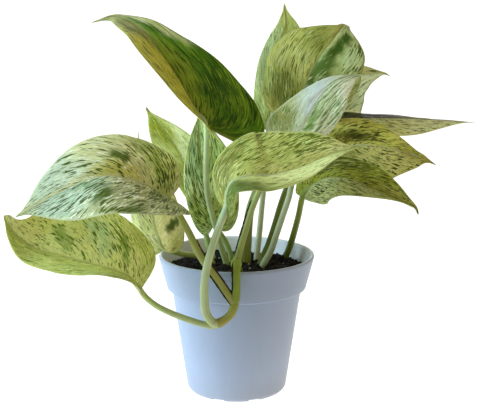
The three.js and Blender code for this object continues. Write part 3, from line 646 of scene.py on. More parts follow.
class Value:
    """A socket that takes part in arithmetic: each operation adds a Math node."""

    def __init__(self, nodes, socket):
        self.nodes = nodes
        self.socket = socket

    def other(self, name):
        """Another output of the same node."""
        return Value(self.nodes, self.socket.node.outputs[name])

    def _math(self, operation, *values):
        return self.nodes.add("ShaderNodeMath", {"operation": operation}, dict(enumerate(values)))

    def __add__(self, other):
        return self._math("ADD", self, other)

    def __sub__(self, other):
        return self._math("SUBTRACT", self, other)

    def __rsub__(self, other):
        return self._math("SUBTRACT", other, self)

    def __mul__(self, other):
        return self._math("MULTIPLY", self, other)

    def __truediv__(self, other):
        return self._math("DIVIDE", self, other)

    def __pow__(self, other):
        return self._math("POWER", self, other)

    def least(self, other):
        """The larger of this and a least value."""
        return self._math("MAXIMUM", self, other)

    def clamped(self):
        return self.nodes.add("ShaderNodeClamp", {}, {"Value": self})


class Nodes:
    """A node tree that is written as expressions."""

    def __init__(self, tree):
        self.tree = tree

    def add(self, kind, settings=None, inputs=None):
        """One node with its settings and the values or links of its sockets; its first output."""
        node = self.tree.nodes.new(kind)
        for name, value in (settings or {}).items():
            setattr(node, name, value)
        for key, value in (inputs or {}).items():
            self._feed(self._socket(node, key), value)
        shown = [s for s in node.outputs if s.enabled]
        return Value(self, shown[0]) if shown else node

    @staticmethod
    def _socket(node, key):
        if isinstance(key, int):
            return node.inputs[key]
        exact = [s for s in node.inputs if s.identifier == key]
        named = [s for s in node.inputs if s.name == key and s.enabled]
        return (exact or named)[0]

    def _feed(self, socket, value):
        if isinstance(value, Value):
            self.tree.links.new(value.socket, socket)
        elif socket.type == "RGBA" and len(value) == 3:
            socket.default_value = (*value, 1)
        else:
            socket.default_value = value

    def mix(self, share, first, second):
        """Between two colours."""
        return self.add("ShaderNodeMix", {"data_type": "RGBA"},
                        {"Factor_Float": share, "A_Color": first, "B_Color": second})

    def vector(self, operation, first, second):
        return self.add("ShaderNodeVectorMath", {"operation": operation}, {0: first, 1: second})

    def times(self, vector, number):
        """A colour or an offset made larger or smaller by a number."""
        return self.add("ShaderNodeVectorMath", {"operation": "SCALE"},
                        {"Vector": vector, "Scale": number})

    def stretched(self, vector, scale):
        return self.vector("MULTIPLY", vector, scale)

    def combined(self, **parts):
        """A vector of its X, Y and Z."""
        return self.add("ShaderNodeCombineXYZ", {}, parts)

    def part(self, vector, axis):
        """One coordinate of a vector."""
        return self.add("ShaderNodeSeparateXYZ", {}, {"Vector": vector}).other(axis)

    def noise(self, vector, scale=1.0, detail=3.0, rough=0.5, swirl=0.0):
        return self.add("ShaderNodeTexNoise", {"noise_dimensions": "3D"},
                        {"Vector": vector, "Scale": scale, "Detail": detail, "Roughness": rough,
                         "Distortion": swirl})


class Finish(Nodes):
    """A procedural material with one principled shader."""

    def __init__(self, name, sockets):
        self.material = bpy.data.materials.new(name)
        self.material.use_nodes = True
        super().__init__(self.material.node_tree)
        self.tree.nodes.clear()
        self.shader = self.tree.nodes.new("ShaderNodeBsdfPrincipled")
        output = self.tree.nodes.new("ShaderNodeOutputMaterial")
        self.tree.links.new(self.shader.outputs["BSDF"], output.inputs["Surface"])
        for key, value in sockets.items():
            self.set(key, value)

    def set(self, key, value):
        self._feed(self.shader.inputs[key], value)

    def place(self):
        """The piece's own coordinates in metres."""
        return self.add("ShaderNodeTexCoord").other("Object")

    def painted(self, name, output="Color"):
        """A colour or number that the mesh carries."""
        return self.add("ShaderNodeAttribute", {"attribute_name": name}).other(output)

    def bump(self, height, distance, strength=1.0):
        self.set("Normal", self.add("ShaderNodeBump", {},
                                    {"Strength": strength, "Distance": distance, "Height": height}))


def cover(noise, share, soft):
    """Where marks lie: all over where the share is 1, nowhere where it is 0."""
    edge = NOISE_TOP - share * NOISE_SPAN
    return ((noise - edge) / soft + 0.5).clamped()


def leaf_finish(name, fineness, settings):
    """Waxy leaf: a wash with pale and dark marks that run along the veins."""
    finish = Finish(name, {"Specular IOR Level": 0.18, "Subsurface Weight": settings.glow,
                           "Subsurface Scale": 0.002, "Subsurface Radius": GREEN_SCATTER})
    veins = finish.add("ShaderNodeUVMap", {"uv_map": "veins"})

    def pattern(round_edge, outward, scale, detail, rough, swirl):
        """Noise with so many marks round the edge and out from the midrib."""
        drawn_out = finish.stretched(veins, (round_edge, outward, 1))
        return finish.noise(drawn_out, scale, detail, rough, swirl)

    wash, fleck_tone, pale_tone = (finish.painted(tone) for tone in ("wash", "flecks", "pale"))
    green_share = finish.painted("green", "Fac")
    cream_share = finish.painted("cream", "Fac")
    flecks = pattern(130, 10, fineness, 2, 0.5, 0.4)
    streaks = pattern(56, 6, fineness, 3, 0.6, 0.5)
    blots = pattern(24, 4, 1, 3, 0.6, 0.6)
    pale_streaks = pattern(105, 8, 1, 3, 0.6, 0.4)
    hairlines = pattern(260, 14, 1, 2, 0.6, 0.2)
    clouds = pattern(10, 3, 1, 3, 0.55, 0.3)
    marks = flecks * 0.5 + streaks * 0.36 + blots * 0.14
    green = cover(marks, green_share, 0.016)
    tint = cover(streaks * 0.6 + blots * 0.4, green_share, 0.15)
    pale = cover(pale_streaks * 0.75 + clouds * 0.25, cream_share, 0.03)
    shaded = finish.times(wash, hairlines * 1.4 + clouds * 0.6 + 0.08)
    tinted = finish.mix(tint * 0.22, shaded, fleck_tone)
    creamed = finish.mix(pale * 0.8, tinted, finish.times(pale_tone, hairlines * 0.5 + 0.85))
    dark = finish.times(fleck_tone, hairlines * 1.1 + clouds * 0.6 - 0.05)
    marked = finish.mix(green * 0.95, creamed, dark)
    finish.set("Base Color", finish.stretched(marked, tuple(settings.tone)))
    finish.set("Roughness", hairlines * 0.2 + (settings.roughness - 0.1) - green * 0.06)
    finish.bump(hairlines * 0.6 + flecks * 0.3 + pale * 0.2 - green * 0.3 + clouds, 0.0004, 0.5)
    return finish.material


def stalk_finish():
    """Green stalk: long fine ribs and a lighter bloom."""
    finish = Finish("stalk_skin", {"Specular IOR Level": 0.4, "Subsurface Weight": 0.1,
                                   "Subsurface Scale": 0.002, "Subsurface Radius": GREEN_SCATTER})
    section = finish.painted("section", "Vector")
    along = finish.painted("along", "Fac")
    skin = finish.vector("ADD", finish.combined(Z=along * 5), section)
    ribs = finish.noise(finish.stretched(skin, (7, 7, 1)), 1, 3, 0.6)
    cloud = finish.noise(finish.place(), 120, 3, 0.6)
    wash = finish.painted("wash")
    finish.set("Base Color", finish.times(wash, ribs * 1.2 + cloud * 0.6 + 0.36))
    finish.set("Roughness", ribs * 0.2 + 0.32)
    finish.bump(ribs, 0.0005, 0.4)
    return finish.material


def sheath_finish():
    """Dried, papery sheath edge, nearly black."""
    finish = Finish("dry_sheath", {"Specular IOR Level": 0.3})
    grain = finish.noise(finish.place(), 900, 4, 0.7)
    finish.set("Base Color", finish.mix(grain, srgb("120d08"), srgb("3d3018")))
    finish.set("Roughness", grain * 0.3 + 0.55)
    finish.bump(grain, 0.0004)
    return finish.material


def pot_finish(settings):
    """Thin satin plastic with faint flow lines, scuffs, dust near the foot, and painted light inside."""
    finish = Finish("pot_plastic", {"Specular IOR Level": 0.5, "Subsurface Weight": 0.12,
                                    "Subsurface Scale": 0.004, "Subsurface Radius": (1.0, 1.0, 1.0)})
    place = finish.place()
    flow = finish.noise(finish.stretched(place, (260, 260, 12)), 1, 3, 0.5)
    cloud = finish.noise(place, 28, 3, 0.5)
    scuffs = finish.noise(finish.stretched(place, (90, 90, 700)), 1, 4, 0.7)
    dust = (1 - finish.part(place, "Z") / DUST_HEIGHT).clamped() * cloud * 0.5
    # Painted light: the inner wall near the lip is painted lighter than the outside
    inside = finish.painted("inside", "Fac")
    plastic = finish.mix(inside, tuple(settings.colour), LIT_INSIDE_COLOUR)
    clean = finish.times(finish.times(plastic, cloud * 0.08 + 0.96), flow * 0.06 + 0.97)
    finish.set("Base Color", finish.mix(dust, clean, srgb("8f8878")))
    finish.set("Roughness", flow * 0.12 + cover(scuffs, 0.3, 0.2) * 0.15 + (settings.roughness - 0.06))
    finish.bump(flow * 0.4 + scuffs * 0.3 + cloud, 0.0002, 0.25)
    return finish.material


def soil_finish():
    """Damp peat: each crumb has a tone of its own."""
    finish = Finish("soil", {"Specular IOR Level": 0.35})
    grain = finish.noise(finish.place(), 1400, 4, 0.7)
    damp = finish.noise(finish.place(), 60, 3, 0.5)
    tone = finish.painted("tone", "Fac")
    peat = finish.mix(tone, srgb("0f0c0a"), srgb("2e251e"))
    finish.set("Base Color", finish.times(peat, grain + 0.4))
    finish.set("Roughness", 0.95 - damp * 0.35)
    finish.bump(grain, 0.0006)
    return finish.material


def chip_finish():
    """Dry bark and coir chips, brown to pinkish."""
    finish = Finish("bark_chip", {"Specular IOR Level": 0.25})
    fibre = finish.noise(finish.stretched(finish.place(), (500, 500, 1800)), 1, 4, 0.65)
    tone = finish.painted("tone", "Fac")
    bark = finish.mix(tone, srgb("35271c"), srgb("7d6655"))
    finish.set("Base Color", finish.times(bark, fibre * 0.9 + 0.5))
    finish.set("Roughness", 0.85)
    finish.bump(fibre, 0.0006)
    return finish.material


def perlite_finish():
    """Chalky white grain."""
    finish = Finish("perlite", {"Specular IOR Level": 0.3})
    grain = finish.noise(finish.place(), 2500, 3, 0.6)
    finish.set("Base Color", finish.mix(grain, srgb("8d8a84"), srgb("e8e6e0")))
    finish.set("Roughness", 0.9)
    finish.bump(grain, 0.0003)
    return finish.material


def backdrop_finish(settings):
    """Plain pale paper with a painted glow, bright behind the plant and to the left, dim in front."""
    finish = Finish("paper", {"Roughness": 0.9, "Specular IOR Level": 0.1,
                              "Emission Strength": settings.paper_glow})
    place = finish.place()
    grain = finish.noise(place, 8, 2, 0.5)
    side, deep = finish.part(place, "X"), finish.part(place, "Y")
    # Painted light: the paper glows brightly behind and to the left and dimly in front and to the right
    behind = (deep * 8 + 1.35).clamped() * (1.9 - side * side).clamped()
    glowing_side = (deep * 4 + 1.65 - side * 4).clamped()
    finish.set("Base Color", finish.mix(grain, (0.54, 0.54, 0.54), (0.56, 0.56, 0.56)))
    finish.set("Emission Color", finish.mix(behind * glowing_side, (0.22, 0.2, 0.17), (1, 0.97, 0.94)))
    return finish.material


class Growth(Nodes):
    """A geometry tree with named inputs."""

    def __init__(self, name, inputs):
        super().__init__(bpy.data.node_groups.new(name, "GeometryNodeTree"))
        self.tree.interface.new_socket("Geometry", in_out="OUTPUT", socket_type="NodeSocketGeometry")
        self.tree.interface.new_socket("Geometry", in_out="INPUT", socket_type="NodeSocketGeometry")
        for label, kind in inputs.items():
            self.tree.interface.new_socket(label, in_out="INPUT", socket_type="NodeSocket" + kind)
        self.entry = self.tree.nodes.new("NodeGroupInput")

    def given(self, label):
        return Value(self, self.entry.outputs[label])

    def named(self, name, kind="FLOAT"):
        return self.add("GeometryNodeInputNamedAttribute", {"data_type": kind}, {"Name": name})

    def stored(self, geometry, name, value, kind="FLOAT", domain="POINT"):
        return self.add("GeometryNodeStoreNamedAttribute", {"data_type": kind, "domain": domain},
                        {"Geometry": geometry, "Name": name, "Value": value})

    def random(self, low, high, seed):
        return self.add("FunctionNodeRandomValue", {"data_type": "FLOAT"},
                        {"Min_001": low, "Max_001": high, "Seed": seed})

    def close(self, geometry, material, smooth=True):
        """Ends the tree in a plain mesh with its material."""
        shaded = self.add("GeometryNodeSetShadeSmooth", {},
                          {"Geometry": geometry, "Shade Smooth": smooth})
        real = self.add("GeometryNodeRealizeInstances", {}, {"Geometry": shaded})
        made = self.add("GeometryNodeSetMaterial", {}, {"Geometry": real, "Material": material})
        output = self.tree.nodes.new("NodeGroupOutput")
        self.tree.links.new(made.socket, output.inputs["Geometry"])
        return self.tree


def sweep_tree():
    """A round section swept along a path: stalks, midribs, the stem and the sheath edges."""
    growth = Growth("sweep", {"Sides": "Int", "Flatness": "Float", "Material": "Material"})
    curve = growth.add("GeometryNodeMeshToCurve", {}, {"Mesh": growth.given("Geometry")})
    curve = growth.add("GeometryNodeSetCurveNormal", {"mode": "FREE"},
                       {"Curve": curve, "Normal": growth.named("facing", "FLOAT_VECTOR")})
    circle = growth.add("GeometryNodeCurvePrimitiveCircle", {},
                        {"Resolution": growth.given("Sides"), "Radius": 1})
    around = growth.add("GeometryNodeInputPosition")
    circle = growth.stored(circle, "section", around, "FLOAT_VECTOR")
    flat = growth.combined(X=growth.given("Flatness"), Y=1, Z=1)
    circle = growth.add("GeometryNodeSetPosition", {},
                        {"Geometry": circle, "Position": growth.stretched(around, flat)})
    tube = growth.add("GeometryNodeCurveToMesh", {},
                      {"Curve": curve, "Profile Curve": circle, "Scale": growth.named("radius"),
                       "Fill Caps": True})
    side = growth.part(growth.named("section", "FLOAT_VECTOR"), "X")
    furrow = side.least(0) ** 6 * growth.named("groove") * growth.named("radius")
    sunk = growth.times(growth.named("facing", "FLOAT_VECTOR"), 0 - furrow)
    grooved = growth.add("GeometryNodeSetPosition", {}, {"Geometry": tube, "Offset": sunk})
    return growth.close(grooved, growth.given("Material"))


def scatter_tree():
    """Small lumps strewn over a surface, each turned and sized at random."""
    growth = Growth("scatter", {"Count per square metre": "Float", "Least size": "Float",
                                "Greatest size": "Float", "Stretch": "Vector", "Lift": "Float",
                                "Tilt": "Float", "Seed": "Int", "Material": "Material"})
    points = growth.add("GeometryNodeDistributePointsOnFaces", {},
                        {"Mesh": growth.given("Geometry"), "Seed": growth.given("Seed"),
                         "Density": growth.given("Count per square metre")})
    lump = growth.add("GeometryNodeMeshIcoSphere", {}, {"Radius": 0.5, "Subdivisions": 2})
    where = growth.add("GeometryNodeInputPosition")
    rough = growth.add("ShaderNodeTexNoise", {}, {"Vector": where, "Scale": 2.6, "Detail": 1})
    knocked = growth.times(growth.vector("SUBTRACT", rough.other("Color"), (0.5, 0.5, 0.5)), 0.8)
    lump = growth.add("GeometryNodeSetPosition", {}, {"Geometry": lump, "Offset": knocked})
    lump = growth.add("GeometryNodeTransform", {}, {"Geometry": lump, "Scale": growth.given("Stretch")})
    tilt = growth.given("Tilt")
    lean = growth.random(-1.0, 1.0, 3) * tilt
    roll = growth.random(-1.0, 1.0, 4) * tilt
    spin = growth.random(0.0, 2 * math.pi, 5)
    turn = growth.add("FunctionNodeEulerToRotation", {},
                      {"Euler": growth.combined(X=lean, Y=roll, Z=spin)})
    size = growth.random(growth.given("Least size"), growth.given("Greatest size"), 6)
    strewn = growth.add("GeometryNodeInstanceOnPoints", {},
                        {"Points": points, "Instance": lump, "Rotation": turn, "Scale": size})
    rise = growth.combined(Z=growth.given("Lift") * size)
    strewn = growth.add("GeometryNodeTranslateInstances", {},
                        {"Instances": strewn, "Translation": rise, "Local Space": False})
    strewn = growth.stored(strewn, "tone", growth.random(0.0, 1.0, 7), "FLOAT", "INSTANCE")
    return growth.close(strewn, growth.given("Material"), False)


def tree_named(name, maker):
    """A geometry tree, made once."""
    return bpy.data.node_groups.get(name) or maker()


def grown(base, tree, inputs):
    """The plain mesh that a geometry tree makes of a base mesh."""
    source = linked("seed_" + base.name, base)
    modifier = source.modifiers.new("growth", "NODES")
    modifier.node_group = tree
    for item in tree.interface.items_tree:
        if item.in_out == "INPUT" and item.name in inputs:
            modifier[item.identifier] = inputs[item.name]
    scene_state = bpy.context.evaluated_depsgraph_get()
    mesh = bpy.data.meshes.new_from_object(source.evaluated_get(scene_state), depsgraph=scene_state,
                                           preserve_all_data_layers=True)
    source.modifiers.remove(modifier)
    bpy.data.objects.remove(source)
    bpy.data.meshes.remove(base)
    return mesh


def linked(name, data):
    """A new object in the scene."""
    made = bpy.data.objects.new(name, data)
    bpy.context.scene.collection.objects.link(made)
    return made


def finished(build, name):
    """The mesh that a bmesh has built, which is then let go."""
    mesh = bpy.data.meshes.new(name)
    build.to_mesh(mesh)
    build.free()
    return mesh


def carry(mesh, name, kind, domain, values):
    """Stores one value for each point or corner of a mesh."""
    attribute = mesh.attributes.new(name, kind, domain)
    field = {"FLOAT": "value", "FLOAT_VECTOR": "vector", "FLOAT_COLOR": "color"}[kind]
    attribute.data.foreach_set(field, np.ascontiguousarray(values, np.float32).ravel())


def polyline(name, points, **carried):
    """An open chain of edges in metres, with values for each of its points."""
    mesh = bpy.data.meshes.new(name)
    mesh.from_pydata((np.asarray(points) * MM).tolist(), [(i, i + 1) for i in range(len(points) - 1)], [])
    for label, values in carried.items():
        kind = "FLOAT" if np.ndim(values) == 1 else "FLOAT_VECTOR"
        carry(mesh, label, kind, "POINT", values)
    return mesh


def swept(name, points, radius, facing, groove, sides, material, flatness=1.0):
    """A tube with rounded ends along points in millimetres."""
    share = np.linspace(0, 1, len(points))
    span = np.linalg.norm(np.diff(points, axis=0), axis=1).sum()
    near_end = np.clip(np.minimum(share, 1 - share) * span / np.maximum(radius, 0.1), 0, 1)
    radius = np.asarray(radius) * np.sqrt(1 - (1 - near_end) ** 2).clip(0.15)
    path = polyline(name, points, radius=radius * MM, facing=facing,
                    groove=np.broadcast_to(groove, len(points)), along=share)
    return grown(path, tree_named("sweep", sweep_tree),
                 {"Sides": sides, "Flatness": flatness, "Material": material})


def piece(name, mesh, slot, *nodes):
    """An object at the origin that rides on the plant, and the nodes that it stands for."""
    made = linked(name, mesh)
    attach(made, "root")
    if nodes:
        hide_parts(*nodes)
    return made


def joined(first, second):
    """Two meshes as one, each with its own material."""
    objects = [linked("join", mesh) for mesh in (first, second)]
    with bpy.context.temp_override(active_object=objects[0], object=objects[0],
                                   selected_objects=objects, selected_editable_objects=objects):
        bpy.ops.object.join()
    mesh = objects[0].data
    bpy.data.objects.remove(objects[0])
    return mesh


def vein_relief(leaf, side, share, out, settings):
    """How far the blade is raised between its veins, and its gentle puckers, in millimetres."""
    rows = settings.veins * (share + 0.03 * np.sin(9 * out + 2 * side))
    quilt = np.abs(np.sin(np.pi * rows)) ** 0.7 - 0.6
    seed = len(leaf["node"]) + sum(leaf["rib"][1]) + side
    pucker = np.sin(19 * share + 5 * out + seed) * np.sin(7 * out - 11 * share + 2 * seed)
    fade = np.sin(np.pi * np.clip(out, 0, 1)) ** 0.6 * np.clip((1 - share) * 4, 0, 1)
    return (settings.vein_depth * quilt + settings.pucker * pucker) * fade


def patches_of(leaf, side):
    """The patches of one half, with the dried tip last where the leaf has one."""
    patches = [patch for half, *patch in leaf["patches"] if half == side]
    if "dry_tip" in leaf:
        colour, reach, strength = leaf["dry_tip"]
        patches.append((1, 0.5, reach, 3, colour, strength))
    return patches


def painted(leaf, side, share, out):
    """The wash and the cover of green and of cream marks at points of one half."""
    wash = np.broadcast_to(srgb(leaf["wash"][side]), (*share.shape, 3)).copy()
    green = np.full(share.shape, float(leaf["green"][side]))
    cream = np.full(share.shape, float(leaf["cream"][side]))
    ragged_share = share + 0.007 * np.sin(31 * out + 57 * share) + 0.004 * np.sin(97 * share - 23 * out)
    ragged_out = out + 0.03 * np.sin(83 * share + 9 * out) + 0.02 * np.sin(191 * share - 17 * out)
    for at_share, at_out, reach, spread, what, strength in patches_of(leaf, side):
        far = ((ragged_share - at_share) / reach) ** 2 + ((ragged_out - at_out) / spread) ** 2
        weight = strength * np.exp(-(far**2.5))
        if what == "green":
            green = green + weight
        elif what == "blot":
            wash += (srgb(leaf["flecks"]) - wash) * weight[..., None]
            cream = cream * (1 - weight)
        elif what == "plain":
            green = green * (1 - weight)
            cream = cream * (1 - weight)
        else:
            wash += (srgb(what) - wash) * weight[..., None]
    rim = np.clip((out - MARGIN_START) / MARGIN_BLEND, 0, 1)
    wash += (srgb(leaf["margin"]) - wash) * (MARGIN_SHARE * rim)[..., None]
    rib = np.exp(-((out / RIB_PAINT_REACH) ** 2)) * np.clip((1 - share) * 6, 0, 1)
    wash += (srgb(leaf["margin"]) - wash) * (RIB_PAINT_SHARE * rib)[..., None]
    marks = (1 - rim) * (1 - 0.8 * rib)
    return wash, green * marks, cream * marks


def grid_faces(rows, columns, merged):
    """The faces of both halves, as their merged points and as the grid points at their corners."""
    faces, corners = [], []
    for side in (LEFT, RIGHT):
        base = side * (rows + 1) * (columns + 1)
        for i in range(rows):
            for j in range(columns):
                steps = ((i, j), (i + 1, j), (i + 1, j + 1), (i, j + 1))
                ring = [base + a * (columns + 1) + b for a, b in steps]
                if side == RIGHT:
                    ring.reverse()
                kept = [c for k, c in enumerate(ring) if merged[c] != merged[ring[k - 1]]]
                if len({int(merged[c]) for c in kept}) == len(kept) >= 3:
                    faces.append([int(merged[c]) for c in kept])
                    corners.append(kept)
    return faces, corners


def point_normals(points, faces):
    """The way that each point looks, from the faces round it."""
    normals = np.zeros_like(points)
    for face in faces:
        a, b, c = points[face[0]], points[face[1]], points[face[2]]
        push = np.cross(b - a, c - a)
        for index in face:
            normals[index] += push
    return unit(normals + TINY)


def open_edges(faces, corners):
    """The edges that one face alone has: two points, and the grid points at the two corners."""
    edges = {}
    for face, ring in zip(faces, corners):
        for k in range(len(face)):
            edges[face[k - 1], face[k]] = (ring[k - 1], ring[k])
    return [(a, b, *edges[a, b]) for a, b in edges if (b, a) not in edges]


def rim_directions(edges, points, normals):
    """The way out of the blade at each point of its open edge."""
    outwards = {}
    for a, b, *_ in edges:
        outward = np.cross(points[b] - points[a], normals[a])
        for index in (a, b):
            outwards[index] = outwards.get(index, 0) + outward
    return {index: unit(outwards[index] + TINY) for index in sorted(outwards)}


def paint_blade(mesh, leaf, grid, corners, below, settings):
    """Stores the paint and the map of the veins at the blade's corners."""
    share, out = grid
    halves = [painted(leaf, side, share, out) for side in (LEFT, RIGHT)]
    wash, green, cream = (np.concatenate([half[k].reshape(share.size, -1) for half in halves])[corners]
                          for k in range(3))
    wash += (srgb(UNDERSIDE_CODE) - wash) * (settings.underside * below)[:, None]
    opaque = np.ones(len(corners))
    carry(mesh, "wash", "FLOAT_COLOR", "CORNER", np.column_stack([wash, opaque]))
    for tone in ("flecks", "pale"):
        colours = np.broadcast_to([*srgb(leaf[tone]), 1], (len(corners), 4))
        carry(mesh, tone, "FLOAT_COLOR", "CORNER", colours)
    carry(mesh, "green", "FLOAT", "CORNER", green[:, 0] * (1 - 0.5 * below))
    carry(mesh, "cream", "FLOAT", "CORNER", cream)
    on_left = corners < share.size
    reach = np.tile(out.ravel(), 2)[corners]
    lean = np.where(on_left, *leaf["lean"]) * reach
    spread = np.tile(share.ravel(), 2)[corners] + np.where(on_left, 0.0, HALF_SHIFT) - lean
    shift = LEAVES.index(leaf) * LEAF_SHIFT
    layer = mesh.uv_layers.new(name="veins")
    layer.data.foreach_set("uv", np.column_stack([spread + shift, reach]).astype(np.float32).ravel())


def blade_mesh(leaf, settings, material):
    """The blade as a closed mesh: an upper and an under face with a rounded edge between."""
    blade = Blade(leaf)
    rows, columns = settings.edge_steps, settings.vein_steps
    grid = np.meshgrid(np.linspace(0, 1, rows + 1), np.linspace(0, 1, columns + 1), indexing="ij")
    flats = [np.stack(blade.flat(side, *grid), -1).reshape(-1, 2) for side in (LEFT, RIGHT)]
    flats = np.concatenate(flats)
    reliefs = [vein_relief(leaf, side, *grid, settings).ravel() for side in (LEFT, RIGHT)]
    reliefs = np.concatenate(reliefs)
    _, first, merged = np.unique(np.round(flats, 3), axis=0, return_index=True, return_inverse=True)
    u, v = flats[first].T
    middle = blade.place(u, v)
    faces, corners = grid_faces(rows, columns, merged.ravel())
    normals = point_normals(middle, faces)
    far_out = np.tile(grid[1].ravel(), 2)[first]
    half = settings.thickness / 2 * (1 - EDGE_THINNING * far_out**3)
    furrow = settings.furrow * np.exp(-((np.abs(v) / FURROW_REACH) ** 2))
    lifted = middle + normals * reliefs[first][:, None]
    top = lifted + normals * (half - furrow)[:, None]
    under = lifted - normals * half[:, None]
    count = len(middle)
    edges = open_edges(faces, corners)
    outwards = rim_directions(edges, middle, normals)
    rim_index = {point: 2 * count + k for k, point in enumerate(outwards)}
    rim = [lifted[point] + outward * half[point] * RIM_BULGE for point, outward in outwards.items()]
    all_faces = [*faces, *([i + count for i in reversed(face)] for face in faces)]
    all_corners = [*corners, *(list(reversed(ring)) for ring in corners)]
    for a, b, corner_a, corner_b in edges:
        all_faces.append([b, a, rim_index[a], rim_index[b]])
        all_faces.append([rim_index[b], rim_index[a], a + count, b + count])
        all_corners += [[corner_b, corner_a, corner_a, corner_b]] * 2
    mesh = bpy.data.meshes.new(leaf["node"] + "_blade")
    mesh.from_pydata((np.vstack([top, under, rim]) * MM).tolist(), [], all_faces)
    below = np.concatenate([np.full(len(face), float(min(face) >= count and max(face) < 2 * count))
                            for face in all_faces])
    paint_blade(mesh, leaf, grid, np.array([c for ring in all_corners for c in ring]), below, settings)
    mesh.materials.append(material)
    mesh.shade_smooth()
    return mesh


def shares_along(mesh):
    """How far along its path each point of a swept mesh lies."""
    shares = np.zeros(len(mesh.vertices), np.float32)
    mesh.attributes["along"].data.foreach_get("value", shares)
    return shares


def wash_points(mesh, colours):
    """Stores a colour for each point of a mesh at its corners."""
    corner_points = np.zeros(len(mesh.loops), np.int32)
    mesh.loops.foreach_get("vertex_index", corner_points)
    opaque = np.ones(len(colours))
    carry(mesh, "wash", "FLOAT_COLOR", "CORNER", np.column_stack([colours, opaque])[corner_points])


def stalk_points(leaf):
    """The stalk's path with the part of it that is hidden in the soil or in the stem."""
    points = list(leaf["stalk"])
    if leaf.get("rooted"):
        x, y, _ = points[0]
        points.insert(0, (x, y, SOIL_TOP - ROOT_DEPTH))
    if "foot" in leaf:
        points.insert(0, leaf["foot"])
    return points


def stalk_mesh(leaf, material):
    """The stalk, and the midrib that it goes on as under the blade."""
    blade = Blade(leaf)
    points = stalk_points(leaf)
    foot, top = leaf["radius"]
    stalk_length = Route(points).length
    rib_shares = np.linspace(RIB_START, RIB_END, RIB_POINTS)
    rib_radius = top * RIB_SHARE * (1 - rib_shares) + RIB_TIP_RADIUS * rib_shares
    depth = (rib_radius - RIB_COVER) * np.clip(rib_shares / RIB_SINK_SHARE, 0, 1)
    sunk = blade.midrib.at(rib_shares) - blade.up(rib_shares) * depth[:, None]
    path = Route([*points[:-1], *sunk])
    shares = np.linspace(0, 1, int(path.length / STALK_STEP))
    far = shares * path.length
    up_stalk = np.clip(far / stalk_length, 0, 1)
    up_rib = np.clip((far - stalk_length) / (RIB_END * blade.length), 0, 1)
    stalk_radius = foot + (top - foot) * up_stalk
    narrowing = RIB_SHARE + (1 - RIB_SHARE) * np.exp(-up_rib * 14)
    midrib_radius = top * narrowing * (1 - up_rib) + RIB_TIP_RADIUS * up_rib
    knee = np.exp(-(((far - stalk_length + KNEE_REACH) / KNEE_REACH) ** 2))
    radius = np.where(far < stalk_length, stalk_radius, midrib_radius) * (1 + KNEE_SWELLING * knee)
    on_rib = up_rib[:, None] > 0
    facing = np.where(on_rib, blade.up(np.clip(up_rib, 0, 1)), np.array(leaf["face"], float))
    facing = square_to(path.along(shares), facing)
    groove = STALK_GROOVE * np.clip((1 - up_rib * 12), 0, 1) * (1 - 0.4 * knee)
    name = leaf["node"] + "_stalk"
    mesh = swept(name, path.at(shares), radius, facing, groove, STALK_SIDES, material)
    low, high = (srgb(code) for code in leaf["stalk_wash"])
    rise = shares_along(mesh) * path.length / stalk_length
    colours = low + (high - low) * np.clip(rise, 0, 1)[:, None]
    under = np.clip((rise - 1) * 3, 0, 1)[:, None]
    colours += (srgb(UNDERSIDE_CODE) - colours) * under * 0.6
    wash_points(mesh, colours)
    return mesh


class PotSettings(bpy.types.PropertyGroup):
    colour: FloatVectorProperty(name="Colour", description="The plastic's colour", subtype="COLOR",
                                default=(0.385, 0.45, 0.58), min=0, max=1)
    roughness: FloatProperty(name="Roughness", description="How dull the plastic is", default=0.42,
                             min=0, max=1)
    segments: IntProperty(name="Segments", description="Sides of the round pot", default=192, min=24)


class SoilSettings(bpy.types.PropertyGroup):
    crumbs: FloatProperty(name="Crumbs", description="Crumbs to a square metre", default=300000, min=0)
    chips: FloatProperty(name="Chips", description="Bark chips to a square metre", default=6000, min=0)
    grains: FloatProperty(name="Grains", description="Perlite grains to a square metre", default=4500,
                          min=0)
    seed: IntProperty(name="Seed", description="Which random scatter", default=11)


class LeafSettings(bpy.types.PropertyGroup):
    thickness: FloatProperty(name="Thickness", description="The blade's thickness in millimetres",
                             default=0.6, min=0.2)
    veins: IntProperty(name="Veins", description="Side veins on each half", default=15, min=3)
    vein_depth: FloatProperty(name="Vein depth", description="How deep the veins lie, in millimetres",
                              default=0.3, min=0)
    pucker: FloatProperty(name="Pucker", description="How much the blade puckers, in millimetres",
                          default=0.45, min=0)
    furrow: FloatProperty(name="Furrow", description="How deep the midrib is sunk above, in millimetres",
                          default=0.35, min=0)
    edge_steps: IntProperty(name="Edge steps", description="Steps round the edge of each half",
                            default=104, min=20)
    vein_steps: IntProperty(name="Vein steps", description="Steps from the midrib to the edge",
                            default=22, min=4)
    roughness: FloatProperty(name="Roughness", description="How dull the wax is", default=0.44,
                             min=0, max=1)
    tone: FloatVectorProperty(name="Tone", description="What the leaves' colours are multiplied by",
                              default=(1.17, 1.1, 0.88), min=0, max=3)
    glow: FloatProperty(name="Glow", description="How much light soaks in", default=0.12, min=0, max=1)
    underside: FloatProperty(name="Underside", description="How much paler the underside is", default=0.5,
                             min=0, max=1)


class StageSettings(bpy.types.PropertyGroup):
    key: FloatProperty(name="Key light", description="The large light on the left, in watts", default=33,
                       unit="POWER")
    fill: FloatProperty(name="Fill light", description="The light on the right, in watts", default=2.2,
                        unit="POWER")
    sky: FloatProperty(name="Sky", description="Strength of the light all round", default=0.25, min=0)
    paper_glow: FloatProperty(name="Paper glow", description="Light that the paper adds", default=0.9,
                              min=0)
    lens: FloatProperty(name="Lens", description="Focal length for a 36 mm sensor", default=94.3, min=1,
                        unit="CAMERA")


class PothosSettings(bpy.types.PropertyGroup):
    pot: PointerProperty(type=PotSettings)
    soil: PointerProperty(type=SoilSettings)
    leaves: PointerProperty(type=LeafSettings)
    stage: PointerProperty(type=StageSettings)


